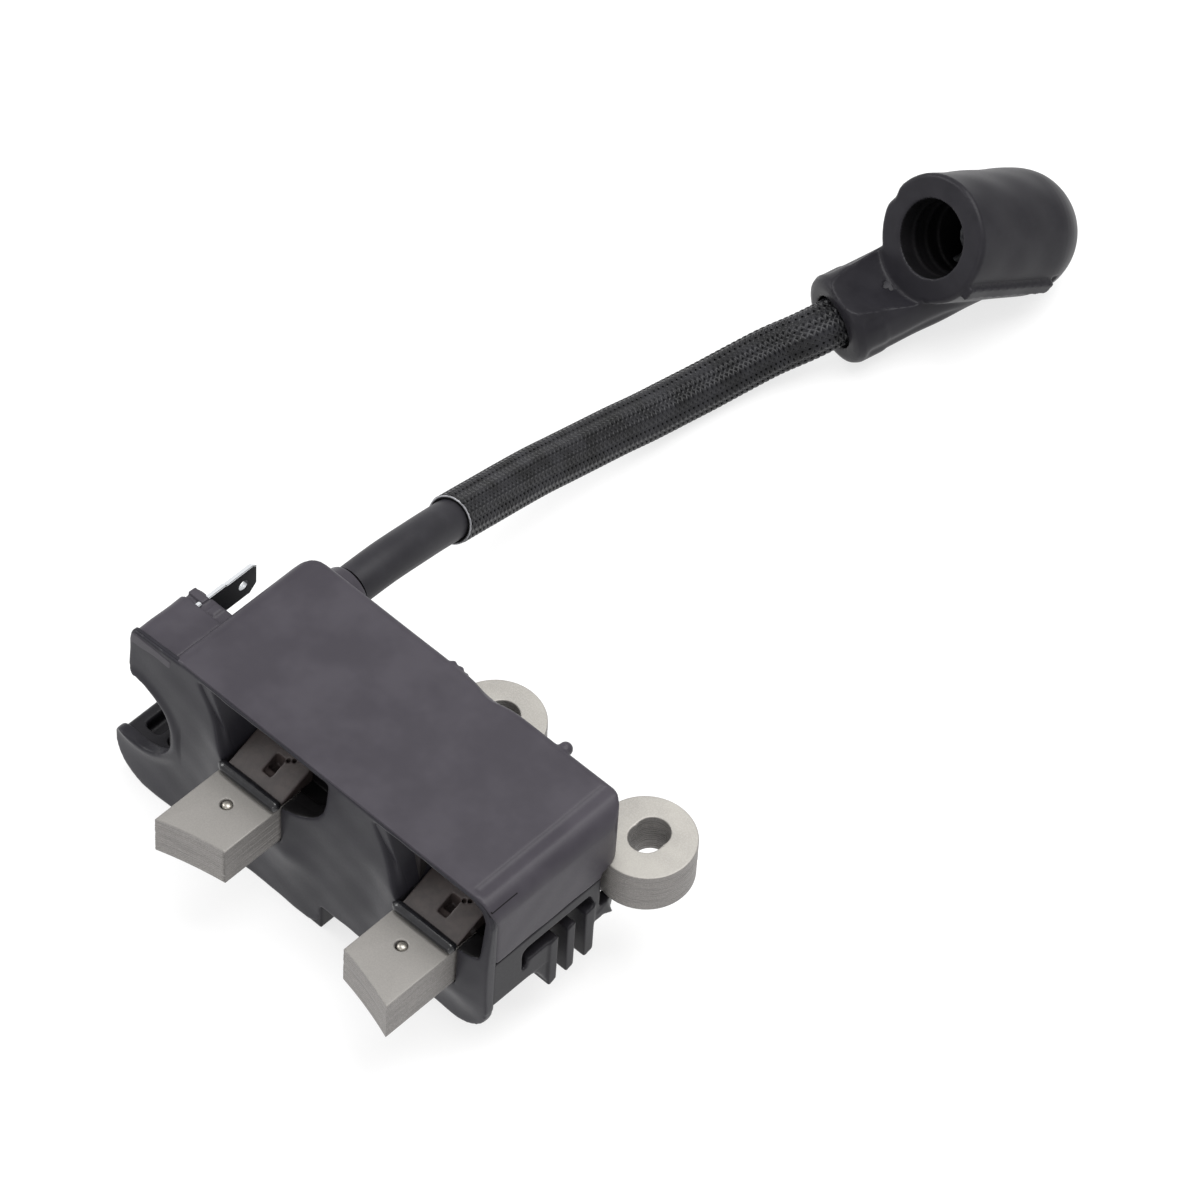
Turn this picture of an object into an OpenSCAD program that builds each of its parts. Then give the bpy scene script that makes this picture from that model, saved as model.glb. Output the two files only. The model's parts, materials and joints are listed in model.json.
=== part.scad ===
// Two-leg flywheel ignition coil with a moulded case, a bolted laminated core,
// a push-on stop tab, and a high-tension lead that ends in an elbow plug boot.
// Millimetres, +Z up. X runs along the case, the pole shoes face -Y, and the
// lugs and the lead leave towards +Y. Z = 0 is the surface that it lies on.

/* [Core] */
// distance between the two lug holes, along X
lug_spacing = 31.8; // [28:0.1:36]
// outer radius of each round lug
lug_r = 8; // [6:0.1:10]
// height of the lamination stack
stack_h = 8; // [5:0.5:12]
// radius of the two overlapping circles that make a lug's slot
slot_r = 2.75; // [2:0.05:3.5]
// length of a lug's slot along Y
slot_len = 7.1; // [6:0.1:9]
// width of each leg and its pole shoe
pole_w = 12.1; // [8:0.1:16]
// clear distance between the two legs
leg_gap = 25.2; // [20:0.1:30]
// radius of the flywheel that the pole faces are ground to
rotor_r = 75; // [50:1:100]
// distance from the lug holes to the inner edge of a pole face, along Y
pole_reach = 47.6; // [40:0.1:55]

/* [Case] */
// length of the case's cover
cover_l = 68.8; // [60:0.1:80]
// depth of the case's cover, front to back
cover_d = 29.4; // [24:0.1:36]
// height of the cover's top above the stack's underside
cover_top = 21; // [16:0.5:26]
// height of the cover's parting line above the stack's underside
seam_z = 7.2; // [5:0.1:7.9]
// wall thickness of the cover and the tray
wall = 2; // [1.2:0.1:3]
// height of the stack's underside above the surface that the coil lies on
stack_lift = 16.7; // [12:0.1:20]

/* [Stop tab] */
// width of the push-on blade
tab_w = 6.3; // [4.8:0.1:6.3]
// thickness of the push-on blade
tab_t = 0.8; // [0.5:0.1:1]
// length of the blade that stands clear of its collar
tab_reach = 10; // [7:0.5:12]

/* [Lead] */
// diameter of the bare high-tension lead
lead_d = 7; // [5:0.5:8]
// outside diameter of the braided sleeve over the lead
sleeve_d = 8.4; // [7:0.1:10]

/* [Boot] */
// outside diameter of the boot's cable tube
boot_tube_d = 16; // [13:0.5:18]
// outside diameter of the boot's plug barrel
boot_barrel_d = 21.7; // [18:0.1:25]
// diameter of the barrel's bore, which grips a plug's insulator
boot_bore_d = 13.3; // [11:0.1:15]
// distance from the elbow's centre to the cable tube's end
boot_tube_l = 36; // [28:0.5:45]
// distance from the elbow's centre to the barrel's mouth
boot_barrel_l = 22; // [16:0.5:30]
// angle between the cable tube and the barrel, in degrees
boot_angle = 34.4; // [30:0.1:90]
// depth of the barrel's full-width bore from its mouth
boot_bore_depth = 10; // [6:0.5:14]

/* [Hidden] */
$fn = 48;

// Core: the lug holes lie either side of x = 0 on y = 0, and the legs sit to the left of them.
lug_x = lug_spacing / 2;
slot_y = 0.6;
slot_step = slot_len / 2 - slot_r;
leg_mid_x = -14.4;
leg_left_x = leg_mid_x - leg_gap / 2 - pole_w;
leg_right_x = leg_mid_x + leg_gap / 2;
rotor_y = -pole_reach - sqrt(rotor_r * rotor_r - leg_gap * leg_gap / 4);
pole_out_y = rotor_y + sqrt(rotor_r * rotor_r - pow(leg_gap / 2 + pole_w, 2));
yoke_y0 = -16;
yoke_y1 = -6.5;
stack_top = stack_h;
interlock_r = 0.8;
interlock_y = -41;

// Case
cover_x0 = -52.8;
cover_x1 = cover_x0 + cover_l;
cover_y1 = -4;
cover_y0 = cover_y1 - cover_d;
corner_r = 5;
shoulder_r = 4.5;
groove_x = cover_x1 - 4.7;
plate_t = 1.4;
plate_y0 = cover_y0 - plate_t;
plate_x0 = -64.8;
plate_low = -stack_lift;
plate_high_low = -11.1;
tray_low_left = plate_low;
tray_low_right = -3.3;
tray_step_x = -19.3;
well_low = -8.2;
shelf_x0 = -63.8;
shelf_top = -6.5;
window_low = stack_top + 1;
cap_y0 = cover_y0 - 1.6;
cap_y1 = cover_y0 + 4.9;
cap_slope = tan(25);
fill_x0 = -19.3;
collar_y0 = cover_y0 - 2.4;
collar_w = 2.5;
notch_y = [-26.4, -10.8];
notch_z = 4.8;
rib_ys = [-21, -17.2, -13.2];
rib_t = [1.7, 1.7, 1.9];
rib_low = -10;
rib_high = 1.2;

// Lead and boot: the elbow's centre, and the cable tube's heading, rise and roll
elbow = [-34.2, 144.3, boot_barrel_d / 2 - stack_lift];
boot_yaw = -14.8;
boot_pitch = 4.5;
boot_roll = 9.9;
tube_dir = [sin(-boot_yaw) * cos(boot_pitch), cos(boot_yaw) * cos(boot_pitch), sin(boot_pitch)];
tube_end = elbow - boot_tube_l * tube_dir;
lead_r = lead_d / 2;
lead_sides = 12;
lead_steps = 2;
lead_exit = [-48.5, cover_y1 + 5, 11];
lead_route = [
    lead_exit,
    [-48.6, 8, 10.6],
    [-49, 15, 9.1],
    [-49.7, 21.5, 7],
    [-50.4, 28, 4.6],
    [-51.1, 34.5, 2.1],
    [-51.8, 41, -0.4],
    [-52.4, 47.5, -2.9],
    [-52.7, 54, -5.3],
    [-52.8, 60.5, -7.4],
    [-52.7, 67, -9.2],
    [-52.3, 73.5, -10.8],
    [-51.7, 80, -11.8],
    [-50.7, 86.5, -12.2],
    [-49.3, 93, -11.8],
    [-47.4, 99, -10.7],
    tube_end - 5 * tube_dir,
    tube_end + 4 * tube_dir
];
sleeve_start = 3.5;
sleeve_insert = 4;
lead_insert = 11;

// The frame's origin: the middle of the case and core, on the surface that they lie on
mid_x = (plate_x0 + lug_x + lug_r) / 2;
mid_y = (pole_out_y + lug_r) / 2;

// ---------- helpers ----------

// Moves a piece from the core's own axes to the frame's origin.
module place() {
    translate([-mid_x, -mid_y, stack_lift]) children();
}

// A box from one corner to the opposite one.
module block(a, b) {
    translate(a) cube(b - a);
}

// A rectangle between two corners, with round corners.
module round_rect(a, b, r) {
    translate([a[0] + r, a[1]]) square([b[0] - a[0] - 2 * r, b[1] - a[1]]);
    translate([a[0], a[1] + r]) square([b[0] - a[0], b[1] - a[1] - 2 * r]);
    for (x = [a[0] + r, b[0] - r], y = [a[1] + r, b[1] - r])
        translate([x, y]) circle(r);
}

// Extrudes an XZ outline from y = y0 to y = y1.
module along_y(y0, y1) {
    translate([0, y1, 0]) rotate([90, 0, 0]) linear_extrude(y1 - y0) children();
}

// Extrudes a YZ outline from x = x0 to x = x1.
module along_x(x0, x1) {
    translate([x0, 0, 0]) rotate([90, 0, 90]) linear_extrude(x1 - x0) children();
}

// Catmull-Rom point between p1 and p2.
function curve_point(p0, p1, p2, p3, t) =
    0.5 * (2 * p1 + (p2 - p0) * t + (2 * p0 - 5 * p1 + 4 * p2 - p3) * t * t
    + (3 * p1 - p0 - 3 * p2 + p3) * t * t * t);

// A smooth path through the points, with the given number of steps between each pair.
function smooth(p, steps) = [
    for (i = [0 : len(p) - 2], k = [0 : steps - 1])
        curve_point(p[max(i - 1, 0)], p[i], p[i + 1], p[min(i + 2, len(p) - 1)], k / steps),
    p[len(p) - 1]
];

function unit(v) = v / norm(v);
function tangent(p, i) = unit(p[min(i + 1, len(p) - 1)] - p[max(i - 1, 0)]);

// A ring of points round a path point, held square to the path.
function ring(p, i, r, sides, last_dir) =
    let (
        t = i == len(p) - 1 && last_dir != undef ? last_dir : tangent(p, i),
        side = unit(cross(t, [0, 0, 1])),
        up = cross(side, t)
    )
    [for (k = [0 : sides - 1]) p[i] + r * (cos(360 * k / sides) * side + sin(360 * k / sides) * up)];

// Joins rings into walls. Each ring has the given number of sides.
function wall_faces(rings, sides, base, flip) = [
    for (i = [0 : rings - 2], k = [0 : sides - 1])
        let (
            a = base + i * sides + k,
            b = base + i * sides + (k + 1) % sides,
            c = b + sides,
            d = a + sides
        )
        each flip ? [[a, b, c], [a, c, d]] : [[a, c, b], [a, d, c]]
];

// A solid tube along a path.
module rod(p, r, sides, last_dir = undef) {
    n = len(p);
    polyhedron(
        [for (i = [0 : n - 1]) each ring(p, i, r, sides, last_dir)],
        concat(
            wall_faces(n, sides, 0, false),
            [[for (k = [0 : sides - 1]) k]],
            [[for (k = [sides - 1 : -1 : 0]) (n - 1) * sides + k]]
        )
    );
}

// A hollow sleeve along a path.
module hose(p, r_in, r_out, sides, last_dir = undef) {
    n = len(p);
    m = n * sides;
    polyhedron(
        concat(
            [for (i = [0 : n - 1]) each ring(p, i, r_out, sides, last_dir)],
            [for (i = [0 : n - 1]) each ring(p, i, r_in, sides, last_dir)]
        ),
        concat(
            wall_faces(n, sides, 0, false),
            wall_faces(n, sides, m, true),
            [for (k = [0 : sides - 1]) let (j = (k + 1) % sides)
                each [[k, j, m + j], [k, m + j, m + k]]],
            [for (k = [0 : sides - 1]) let (j = (k + 1) % sides, e = (n - 1) * sides)
                each [[e + k, e + m + j, e + j], [e + k, e + m + k, e + m + j]]]
        )
    );
}

lead_path = smooth(lead_route, lead_steps);
sleeve_path = [for (i = [sleeve_start * lead_steps : len(lead_path) - 1]) lead_path[i]];

// ---------- core ----------

// One lamination, seen from above.
module lamination() {
    difference() {
        union() {
            for (x = [leg_left_x, leg_right_x])
                translate([x, pole_out_y - 1]) square([pole_w, yoke_y1 - pole_out_y + 1]);
            translate([leg_left_x, yoke_y0]) square([lug_x - 2 - leg_left_x, yoke_y1 - yoke_y0]);
            for (x = [-lug_x, lug_x]) {
                translate([x, 0]) circle(lug_r);
                translate([x - lug_r, yoke_y0 + 1]) square([lug_r - 2.5, -yoke_y0 - 1]);
                translate([x - lug_r, -lug_r]) square([lug_r, lug_r]);
            }
        }
        translate([leg_mid_x, rotor_y]) circle(rotor_r, $fn = 180);
        for (x = [-lug_x, lug_x], s = [-1, 1])
            translate([x, slot_y + s * slot_step]) circle(slot_r);
        for (x = interlock_xs())
            translate([x, interlock_y]) circle(interlock_r + 0.02);
    }
}

function interlock_xs() = [leg_left_x + pole_w * 0.47, leg_right_x + pole_w * 0.47];

module core() {
    color("#a9a69f") place() linear_extrude(stack_h) lamination();
}

// The pins that lock the laminations together stand a little below both faces.
module core_interlocks() {
    color("#8f8c86") place()
        for (x = interlock_xs())
            translate([x, interlock_y, 0.2]) cylinder(r = interlock_r, h = stack_h - 0.5);
}

// ---------- case ----------

// The cover's outer shape: its plan, its rounded right shoulder and its back edge.
module cover_outer() {
    intersection() {
        translate([0, 0, seam_z]) linear_extrude(cover_top - seam_z) union() {
            round_rect([cover_x0, cover_y0], [cover_x1, cover_y1], corner_r);
            translate([cover_x0, cover_y0]) square([cover_l, cover_d / 2]);
        }
        along_y(cover_y0 - 1, cover_y1 + 1) union() {
            translate([cover_x0 - 1, seam_z - 1]) square([cover_l + 1 - shoulder_r, cover_top - seam_z + 1]);
            translate([cover_x0, seam_z - 1]) square([cover_l, cover_top - shoulder_r - seam_z + 1]);
            translate([cover_x1 - shoulder_r, cover_top - shoulder_r]) circle(shoulder_r);
        }
        along_x(cover_x0 - 1, cover_x1 + 1) union() {
            translate([cover_y0 - 1, seam_z - 1]) square([cover_d, cover_top - seam_z + 1]);
            translate([cover_y0 - 1, seam_z - 1]) square([cover_d + 1, cover_top - seam_z]);
            translate([cover_y1 - 1, cover_top - 1]) circle(1);
        }
    }
}

// The space that the coil and its circuit fill.
module cavity(z0, z1) {
    block([cover_x0 + wall, cover_y0 + wall, z0], [cover_x1 - wall, cover_y1 - wall, z1]);
}

// A cut with the window's outline: its lower outer corner has a large radius.
module window_outline(x0, x1, r) {
    translate([x0, window_low]) square([x1 - x0 - r, cover_top - 1.2 - window_low]);
    translate([x0, window_low + r]) square([x1 - x0, cover_top - 1.2 - window_low - r]);
    translate([x1 - r, window_low + r]) circle(r);
}

module windows(y0, y1) {
    along_y(y0, y1) window_outline(leg_left_x + 0.3, leg_left_x + pole_w + 8, 6);
    along_y(y0, y1) window_outline(leg_right_x + 0.3, cover_x1 - 1.6, 2);
}

// Holes for the legs, a little wider than the stack, up to the windows.
module leg_holes(y0, y1) {
    for (x = [leg_left_x, leg_right_x])
        block([x - 0.1, y0, -0.1], [x + pole_w + 0.1, y1, window_low + 0.1]);
}

module cover() {
    color("#55535a") place() difference() {
        cover_outer();
        cavity(seam_z - 1, cover_top - wall);
        windows(cover_y0 - 1, cover_y0 + wall + 1);
        leg_holes(cover_y0 - 1, cover_y0 + wall + 1);
        block([leg_left_x - 1, cover_y1 - wall - 1, seam_z - 1], [lug_x, cover_y1 + 1, stack_top + 0.1]);
        block([8, cover_y1 - 6, seam_z - 1], [cover_x1 + 1, cover_y1 + 1, stack_top + 0.1]);
        translate([groove_x, cover_y0 - 1, cover_top + 0.9]) rotate([-90, 0, 0]) cylinder(r = 1.4, h = cover_d + 2);
        translate([lead_exit[0], cover_y1 - wall - 1, lead_exit[2]]) rotate([-90, 0, 0]) cylinder(r = tower_neck_r + 0.05, h = wall + 2);
    }
}

// The front plate's outline: a deep lobe on the left, a step up on the right, and an arm over the stop tab.
module plate_outline() {
    difference() {
        union() {
            translate([plate_x0 + 7, plate_low]) square([35.3, cover_top - 1 - plate_low]);
            translate([plate_x0, plate_low + 7]) square([20, 4.5]);
            translate([plate_x0 + 7, plate_low + 7]) circle(7);
            translate([plate_x0 + 2.4, shelf_top + 0.2 - 2.4]) circle(2.4);
            translate([plate_x0 + 2.4, shelf_top - 4]) square([20, 4.2]);
            translate([-22.5, plate_low + 3]) circle(3);
            translate([-24, plate_low + 3]) square([4.5, 12]);
            translate([-24, plate_high_low]) square([cover_x1 - 7 + 24, 20]);
            translate([-24, plate_high_low + 7]) square([cover_x1 + 24, cover_top - shoulder_r - plate_high_low - 7]);
            translate([-24, 5]) square([cover_x1 - shoulder_r + 24, cover_top - 5]);
            translate([cover_x1 - 7, plate_high_low + 7]) circle(7);
            translate([cover_x1 - shoulder_r, cover_top - shoulder_r]) circle(shoulder_r);
            translate([-61.4, 10.5]) square([20, cover_top - 1.4 - 10.5]);
            translate([-60, 9.4]) square([20, 3]);
        }
        translate([-59.6, 1.2]) circle(7.6);
        translate([-59.6, 3.2]) circle(6.9);
    }
}

// The plate stands out as a collar round each leg.
module front_plate() {
    color("#4b4a50") place() difference() {
        union() {
            along_y(plate_y0, cover_y0) plate_outline();
            for (x = [leg_left_x, leg_right_x])
                block([x - collar_w, collar_y0, -collar_w], [x + pole_w + collar_w, cover_y0, window_low]);
        }
        windows(collar_y0 - 1, cover_y0 + 1);
        leg_holes(collar_y0 - 1, cover_y0 + 1);
    }
}

module tray_outline() {
    translate([cover_x0, tray_low_left]) square([tray_step_x - cover_x0, seam_z - tray_low_left]);
    translate([cover_x0, tray_low_right]) square([cover_l, seam_z - tray_low_right]);
    translate([shelf_x0, tray_low_left + 2]) square([20, shelf_top - tray_low_left - 2]);
    translate([shelf_x0 + 5, tray_low_left]) square([20, 6]);
    translate([shelf_x0 + 5, tray_low_left + 5]) circle(5);
}

module tray() {
    color("#47464c") place() {
        difference() {
            intersection() {
                along_y(cover_y0, cover_y1) tray_outline();
                translate([0, 0, -20]) linear_extrude(40) union() {
                    round_rect([shelf_x0, cover_y0], [cover_x1, cover_y1], corner_r);
                    translate([shelf_x0, cover_y0]) square([cover_x1 - shelf_x0, cover_d / 2]);
                }
            }
            block([cover_x0 + wall, cover_y0 + wall, tray_low_left - 1], [tray_step_x - wall, cover_y1 - wall, seam_z + 1]);
            block([cover_x0 + wall, cover_y0 + wall, well_low], [cover_x1 - wall, cover_y1 - wall, seam_z + 1]);
            block([shelf_x0 + 2.2, cover_y0 + 2, shelf_top - 2], [cover_x0 - 5.6, cover_y1 - 6, shelf_top + 1]);
            block([cover_x0 - 3.8, cover_y0 + 2, shelf_top - 2], [cover_x0 - 1.2, cover_y1 - 6, shelf_top + 1]);
            leg_holes(cover_y0 - 1, cover_y0 + wall + 1);
            block([leg_left_x - 1, cover_y1 - wall - 1, -0.1], [lug_x, cover_y1 + 1, seam_z + 1]);
            block([8, cover_y1 - 6, -0.1], [cover_x1 + 1, cover_y1 + 1, seam_z + 1]);
            block([cover_x1 - wall - 1, notch_y[0], tray_low_right - 1], [cover_x1 + 1, notch_y[1], notch_z]);
        }
        block([cover_x1 - wall, notch_y[0], tray_low_right], [cover_x1, rib_ys[0], rib_high]);
        block([cover_x1 - wall - 1, notch_y[0], rib_high - 1], [cover_x1 - wall, notch_y[1], rib_high]);
        block([cover_x1 - wall - 1, notch_y[0] - 1, rib_high - 1], [cover_x1 - wall, notch_y[0], rib_high]);
        block([cover_x1 - wall - 1, notch_y[1], rib_high - 1], [cover_x1 - wall, notch_y[1] + 1, rib_high]);
        for (i = [0 : len(rib_ys) - 1])
            block([cover_x1 - wall - 0.5, rib_ys[i], rib_low], [cover_x1 + 0.2, rib_ys[i] + rib_t[i], rib_high]);
    }
}

// The resin that closes the tray from below and fills the case between the two coils.
module potting() {
    color("#2c2a2b") place() {
        block([cover_x0 + wall, cover_y0 + wall, tray_low_left + 1], [tray_step_x - wall, cover_y1 - wall, tray_low_left + 3.5]);
        block([fill_x0, cover_y0 + wall, tray_low_right + 0.8], [leg_right_x - 3, yoke_y0 - 0.4, stack_top + 1]);
        block([fill_x0, cover_y0 + wall, stack_top], [leg_right_x, board_y0 - 0.2, cover_top - wall - 0.1]);
    }
}

// A dark cap over each leg slopes up behind its window, with a slot in its top. A wall behind it closes the
// window up to its right edge, and a low floor lies in front of the wall, to the right of the leg.
module leg_cap(x0, x1, x2) {
    slot_x = x0 + pole_w * 0.44;
    block([x0, cap_y1 - 0.8, stack_top + 0.15], [x2, cap_y1, cover_top - wall - 0.1]);
    block([x1 - 1, cover_y0 + wall + 0.2, stack_top + 0.15], [x2, cap_y1, stack_top + 0.95]);
    difference() {
        along_x(x0, x1) polygon([
            [cap_y0, stack_top + 0.15],
            [cap_y0, stack_top + 1.2],
            [cap_y1, stack_top + 1.2 + cap_slope * (cap_y1 - cap_y0)],
            [cap_y1, stack_top + 0.15]
        ]);
        block([slot_x, cap_y0 + 1.8, stack_top + 1], [slot_x + 2, cap_y0 + 5.2, stack_top + 8]);
    }
}

module leg_cap_left() {
    color("#3a3534") place() leg_cap(leg_left_x + 0.5, leg_left_x + pole_w - 0.2, fill_x0 - 0.1);
}

module leg_cap_right() {
    color("#3a3534") place() leg_cap(leg_right_x + 0.5, leg_right_x + pole_w - 0.2, cover_x1 - wall - 0.1);
}

// A half-round bar lies across each leg where it leaves the case.
module lip(x0) {
    translate([x0 + 0.2, collar_y0 - 0.75, stack_top + 0.12]) intersection() {
        rotate([0, 90, 0]) cylinder(r = 0.9, h = pole_w - 0.4);
        block([-1, -1, 0], [pole_w + 1, 1, 2]);
    }
}

module lip_left() {
    color("#17161a") place() lip(leg_left_x);
}

module lip_right() {
    color("#17161a") place() lip(leg_right_x);
}

// ---------- coil ----------

coil_y0 = cap_y1 + 0.3;
coil_y1 = yoke_y0 - 0.4;
coil_x = leg_left_x + pole_w / 2;
tube_wall = 1;

// A winding or a bobbin's wall: a rectangular ring round a leg.
module around_leg(x, inner, outer, y0, y1) {
    along_y(y0, y1) difference() {
        translate([x - pole_w / 2 - outer, -outer]) square([pole_w + 2 * outer, stack_h + 2 * outer]);
        translate([x - pole_w / 2 - inner, -inner]) square([pole_w + 2 * inner, stack_h + 2 * inner]);
    }
}

module primary_bobbin() {
    color("#2e2c30") place() {
        around_leg(coil_x, 0.15, 0.15 + tube_wall, coil_y0, coil_y1);
        around_leg(coil_x, 0.15, 3.2, coil_y0, coil_y0 + 1);
        around_leg(coil_x, 0.15, 3.2, coil_y1 - 1, coil_y1);
    }
}

module primary_winding() {
    color("#9c5a32") place()
        around_leg(coil_x, 0.2 + tube_wall, 3, coil_y0 + 1.05, coil_y1 - 1.05);
}

secondary_slots = 4;
secondary_pitch = (coil_y1 - coil_y0 - 1) / secondary_slots;

module secondary_bobbin() {
    color("#c9c2ae") place() {
        around_leg(coil_x, 3.3, 4.2, coil_y0, coil_y1);
        for (i = [0 : secondary_slots])
            around_leg(coil_x, 3.3, 5.6, coil_y0 + i * secondary_pitch, coil_y0 + i * secondary_pitch + 1);
    }
}

module secondary_winding() {
    color("#a8683c") place()
        for (i = [0 : secondary_slots - 1])
            around_leg(coil_x, 4.25, 5.2, coil_y0 + i * secondary_pitch + 1.05, coil_y0 + (i + 1) * secondary_pitch - 0.05);
}

// ---------- trigger circuit ----------

board_z = 15.6;
board_x0 = -16.5;
board_y0 = cover_y0 + 11.5;
board_y1 = cover_y1 - wall - 1;
board_t = 1.6;

module circuit_board() {
    color("#2f6b45") place()
        block([board_x0, board_y0, board_z], [cover_x1 - shoulder_r - 1, board_y1, board_z + board_t]);
}

module thyristor() {
    color("#1d1d1f") place() {
        block([board_x0 + 4, board_y0 + 2, board_z - 4], [board_x0 + 8.6, board_y0 + 5.6, board_z - 0.5]);
        for (i = [0 : 2])
            block([board_x0 + 4.8 + 1.27 * i, board_y0 + 3.4, board_z - 0.5], [board_x0 + 5.3 + 1.27 * i, board_y0 + 3.9, board_z]);
    }
}

module capacitor() {
    color("#8a3b2a") place()
        block([board_x0 + 1, board_y0 + 7.5, board_z - 6], [board_x0 + 11, board_y0 + 12, board_z]);
}

module diode() {
    color("#3b3a3d") place()
        translate([board_x0 + 14, board_y0 + 4, board_z - 1.6]) rotate([0, 90, 0]) cylinder(r = 1.3, h = 5);
}

module resistors() {
    color("#b79c72") place()
        for (i = [0 : 2])
            translate([board_x0 + 15, board_y0 + 7 + 2.6 * i, board_z - 1.2]) rotate([0, 90, 0]) cylinder(r = 0.9, h = 4);
}

trigger_x = leg_right_x + pole_w / 2;

module trigger_bobbin() {
    color("#2e2c30") place() {
        around_leg(trigger_x, 0.15, 0.9, coil_y0 + 6.5, coil_y1);
        around_leg(trigger_x, 0.15, 2.6, coil_y0 + 6.5, coil_y0 + 7.3);
        around_leg(trigger_x, 0.15, 2.6, coil_y1 - 0.8, coil_y1);
    }
}

module trigger_winding() {
    color("#9c5a32") place()
        around_leg(trigger_x, 0.95, 2.3, coil_y0 + 7.35, coil_y1 - 0.85);
}

// The strap that earths the circuit to the yoke.
module ground_strap() {
    color("#b8a35a") place() {
        block([board_x0 + 1.5, yoke_y1 - 3, stack_top + 0.02], [board_x0 + 5, yoke_y1 - 0.5, stack_top + 0.5]);
        block([board_x0 + 1.5, yoke_y1 - 1, stack_top + 0.02], [board_x0 + 5, yoke_y1 - 0.5, board_z]);
    }
}

// ---------- stop tab ----------

tab_x = -58;
tab_z = 15.9;
block_y0 = cover_y0;
block_y1 = -23.4;
collar_y1 = -20.6;

module terminal_block() {
    color("#4f4e55") place() difference() {
        union() {
            along_y(block_y0, block_y1) round_rect([-61.4, 9.4], [cover_x0, 19.5], 1);
            along_y(block_y0, collar_y1) round_rect([-61, 10.4], [cover_x0, 19.2], 1);
        }
        block([tab_x - tab_t / 2, block_y1 - 4, tab_z - tab_w / 2], [tab_x + tab_t / 2, collar_y1 + 1, tab_z + tab_w / 2]);
    }
}

// The blade's outline: a shoulder near the collar, a bevelled tip and a locking hole.
module stop_tab() {
    tip = collar_y1 + tab_reach;
    half = tab_w / 2;
    color("#b9bcc0") place() difference() {
        along_x(tab_x - tab_t / 2, tab_x + tab_t / 2) translate([0, tab_z]) polygon([
            [block_y1 - 4, -half],
            [tip - 1.4, -half],
            [tip, -half + 1.6],
            [tip, half - 0.6],
            [tip - 0.6, half - 0.25],
            [collar_y1 + 3.4, half - 0.25],
            [collar_y1 + 3, half],
            [block_y1 - 4, half]
        ]);
        translate([tab_x - 1, tip - 3, tab_z]) rotate([0, 90, 0]) cylinder(r = 0.9, h = 2);
    }
}

// ---------- high-tension lead ----------

// The brass pin that feeds the secondary's output into the lead.
module output_pin() {
    color("#c2a24e") place() translate([lead_exit[0], cover_y1 - 9, lead_exit[2]]) rotate([-90, 0, 0]) {
        cylinder(r = 1, h = 9 - wall);
        cylinder(r = 2, h = 1);
    }
}

tower_neck_r = 3.7;

// The short tapered tower that holds the lead where it leaves the case.
module lead_tower() {
    color("#46454b") place() translate([lead_exit[0], cover_y1 - wall, lead_exit[2]]) rotate([-90, 0, 0]) {
        cylinder(r = tower_neck_r, h = wall);
        translate([0, 0, wall]) cylinder(r1 = 4.6, r2 = 4, h = 4.7);
    }
}

module ht_lead() {
    color("#3b3a40") place() rod(lead_path, lead_r, lead_sides, tube_dir);
}

module lead_sleeve() {
    color("#2a2a2d") place() hose(sleeve_path, lead_r + 0.1, sleeve_d / 2, lead_sides, tube_dir);
}

// ---------- boot ----------

// Turns the boot's own axes, with its cable tube along -Y and its barrel above it, into place.
module boot_place() {
    place() translate(elbow) rotate([0, 0, boot_yaw]) rotate([boot_pitch, 0, 0]) rotate([0, boot_roll, 0]) children();
}

// Turns Z to point out of the barrel's mouth.
module barrel_place() {
    rotate([90 - boot_angle, 0, 0]) children();
}

module lead_end() {
    color("#3b3a40") boot_place() translate([0, sleeve_insert - boot_tube_l, 0]) rotate([-90, 0, 0])
        cylinder(r = lead_r, h = lead_insert - sleeve_insert);
}

// Half of the barrel's outline, from its domed end to its mouth. The dome has a small flat at its crown.
module barrel_profile() {
    r = boot_barrel_d / 2;
    square([r, boot_barrel_l]);
    intersection() {
        circle(r);
        translate([0, 0.05 - r]) square(r);
    }
}

// The room in front of the barrel's mouth, which cuts a saddle in the cable tube's upper side.
module mouth_clearance() {
    r = boot_barrel_d / 2;
    barrel_place() translate([0, 0, boot_barrel_l]) cylinder(r1 = r + 0.4, r2 = r + 4, h = 14);
}

module boot() {
    color("#38373c") boot_place() difference() {
        union() {
            rotate([90, 0, 0]) cylinder(d = boot_tube_d, h = boot_tube_l);
            barrel_place() rotate_extrude() barrel_profile();
        }
        translate([0, -boot_tube_l - 1, 0]) rotate([-90, 0, 0]) cylinder(d = lead_d + 0.1, h = lead_insert + 1);
        translate([0, -boot_tube_l - 1, 0]) rotate([-90, 0, 0]) cylinder(d = sleeve_d + 0.8, h = sleeve_insert + 1);
        barrel_place() translate([0, 0, boot_barrel_l - boot_bore_depth]) cylinder(d = boot_bore_d, h = boot_bore_depth + 1);
        mouth_clearance();
        barrel_place() translate([0, 0, spring_seat]) cylinder(d = boot_bore_d - 1, h = boot_barrel_l - spring_seat - 1);
        barrel_place() translate([0, 0, -3]) cylinder(d = 5, h = boot_barrel_l - 1);
        rotate([90, 0, 0]) cylinder(d = 3.6, h = boot_tube_l - lead_insert + 1);
    }
}

// The spring clip's stem pierces the lead, and its button carries the spring.
module boot_clip() {
    color("#b9bcc0") boot_place() {
        rotate([90, 0, 0]) cylinder(d = 1.6, h = boot_tube_l - lead_insert - 0.1);
        sphere(d = 2.6);
        barrel_place() cylinder(d = 1.6, h = spring_seat + 0.5);
        barrel_place() translate([0, 0, spring_seat + 0.1]) cylinder(d = 8.4, h = 0.8);
    }
}

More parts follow.
